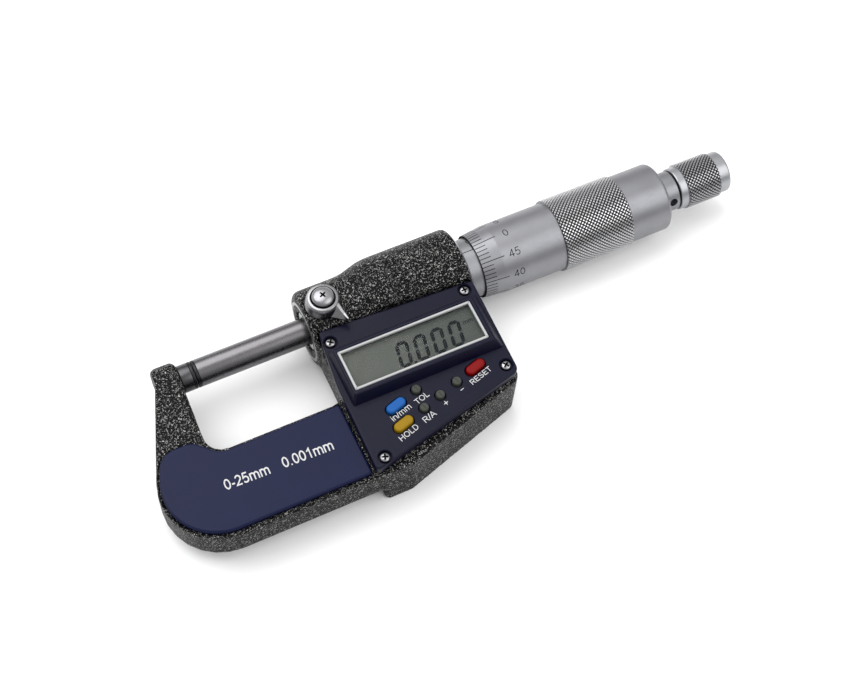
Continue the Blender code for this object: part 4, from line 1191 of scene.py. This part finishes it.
def make_lettering():
    plate_top = span("front_grip_plate")[1].z
    slope = math.radians(-1.7)
    for name, text, start in (
        ("range_text", "0-25mm", (-5.25, -31.71)), ("resolution_text", "0.001mm", (8.2, -32.01)),
    ):
        add_text(name, text, start, slope, 2.06, 0.3, plate_top, WHITE_INK, tall=1.22)
    for name, text, start, height in (
        ("unit_label", "in/mm", (34.1, -32.78), 1.46), ("hold_label", "HOLD", (33.7, -37.9), 1.38),
        ("tolerance_label", "TOL", (40.7, -31.17), 1.38), ("relative_label", "R/A", (40.4, -36.0), 1.46),
        ("plus_label", "+", (46.25, -33.98), 1.5), ("minus_label", "-", (51.1, -32.75), 2.6),
        ("reset_label", "RESET", (54.0, -31.8), 1.3),
    ):
        add_text(name, text, start, KEY_ANGLE, height, 0.165, 8.0, WHITE_INK)


# ---------------------------------------------------------------- grips and battery cap


def grip_outline():
    slope = math.tan(math.radians(20))

    def left_x(y):
        return -9.9 + (y + 0.6) * slope + 0.8 / math.cos(math.radians(20))

    return rounded([
        (25.5, -40.9, 0.8), (25.5, -22.7, 0.8), (-3.0, -22.7, 4.0), (-7.8, -17.9, 4.0),
        (left_x(-17.9), -17.9, 5.0), (left_x(-40.9), -40.9, 12.6),
    ], math.radians(5))


def make_grips():
    low, high = span("front_grip_plate")
    front = prism(grip_outline(), [(0, low.z)] + soft_edge(0.55, high.z, 6))
    add_piece("front_grip", front, NAVY_PLATE, "frame_assembly", ["front_grip_plate"],
              weighted=True)
    low, high = span("rear_grip_plate")
    levels = [(inset, low.z + high.z - z) for inset, z in soft_edge(0.55, high.z, 6)]
    rear = prism(grip_outline(), list(reversed(levels)) + [(0, high.z)])
    add_piece("rear_grip", rear, NAVY_PLATE, "frame_assembly", ["rear_grip_plate"],
              weighted=True)


def make_battery_cap():
    low, high = span("battery_cap")
    place = middle_of("battery_cap")
    cap = turn_to_z(revolve(softened([
        (low.z, 0, 0), (low.z, 5.6, 0.15), (low.z + 0.25, 5.7, 0.1), (low.z + 0.25, 5.95, 0.1),
        (low.z, 6.05, 0.1), (low.z, 6.6, 0.35), (-8.5, 6.6, 0.1), (-8.5, 5.4, 0), (high.z, 5.4, 0.2),
        (high.z, 0, 0),
    ]), steps=96), place.x, place.y)
    levels = [(0, low.z - 1), (0, low.z), (0.2, low.z + 0.2), (0.2, low.z + 0.7)]
    slot = prism(stadium(place.x, place.y, 9.0, 1.6, 0), levels)
    cap = combine(cap, [slot], "DIFFERENCE")
    add_piece("battery_coin_cap", cap, NAVY_COVER, "battery_cap", ["battery_cap"],
              weighted=True)


# ---------------------------------------------------------------- stage


def make_stage():
    material, tree, shader = new_material("pale_floor", (0.9, 0.9, 0.9), 0.8)
    add_bump(tree, shader, noise_of(tree, millimetres(tree), 0.5, 2.0), 0.02, 0.2)
    shape = bmesh.new()
    bmesh.ops.create_grid(shape, x_segments=1, y_segments=1, size=3.0)
    mesh = mesh_of("floor", shape)
    mesh.materials.append(material)
    floor = new_object("floor", mesh)
    floor.location.z = CAD_BOX[0].z - 0.0002


def add_area_light(name, place, size, power, colour=(1, 1, 1)):
    light = bpy.data.lights.new(name, "AREA")
    light.shape = "DISK"
    light.size = size
    light.energy = power
    light.color = colour
    obj = new_object(name, light)
    obj.location = place
    obj.rotation_mode = "QUATERNION"
    obj.rotation_quaternion = (-Vector(place)).to_track_quat("-Z", "Y")


def make_lights():
    """A broad white studio: bright overhead and behind the tool, darker towards its front."""
    world = bpy.data.worlds.new("studio")
    bpy.context.scene.world = world
    world.use_nodes = True
    tree = world.node_tree
    background = tree.nodes["Background"]
    background.inputs["Color"].default_value = (1, 1, 1, 1)
    direction = tree.nodes.new("ShaderNodeTexCoord")
    separate = tree.nodes.new("ShaderNodeSeparateXYZ")
    tree.links.new(direction.outputs["Generated"], separate.inputs[0])
    overhead = map_range(tree, separate.outputs["Z"], 0.0, 1.0, 0.6, 1.15)
    behind = map_range(tree, separate.outputs["Y"], -1.0, 0.8, 0.7, 1.05)
    tree.links.new(calculate(tree, "MULTIPLY", overhead, behind), background.inputs["Strength"])
    add_area_light("key_light", (-0.3, 0.5, 0.9), 1.2, 11)
    add_area_light("fill_light", (0.5, -0.5, 0.8), 1.0, 5)


def make_camera():
    camera = bpy.data.cameras.new("camera")
    camera.lens = 67.37
    camera.sensor_width = 36
    camera.clip_start = 0.01
    obj = new_object("camera", camera)
    right = Vector((0.9031, -0.4273, 0.0429))
    upward = Vector((0.3588, 0.8055, 0.4716))
    backward = right.cross(upward)
    turn = Matrix((right, upward, backward)).transposed()
    obj.rotation_mode = "QUATERNION"
    obj.rotation_quaternion = turn.to_quaternion()
    obj.location = to_frame((-36.0, -166.4, 326.9))
    bpy.context.scene.camera = obj


make_camera()
make_lights()
make_stage()
bpy.context.scene.view_settings.view_transform = "Standard"

paint_kept_nodes()
make_casting()
make_barrel_rings()
make_anvil()
make_spindle()
make_sleeve()
make_thimble()
make_ratchet()
make_lock()
make_cover()
make_display()
make_keys()
make_cover_screws()
make_lettering()
make_grips()
make_battery_cap()
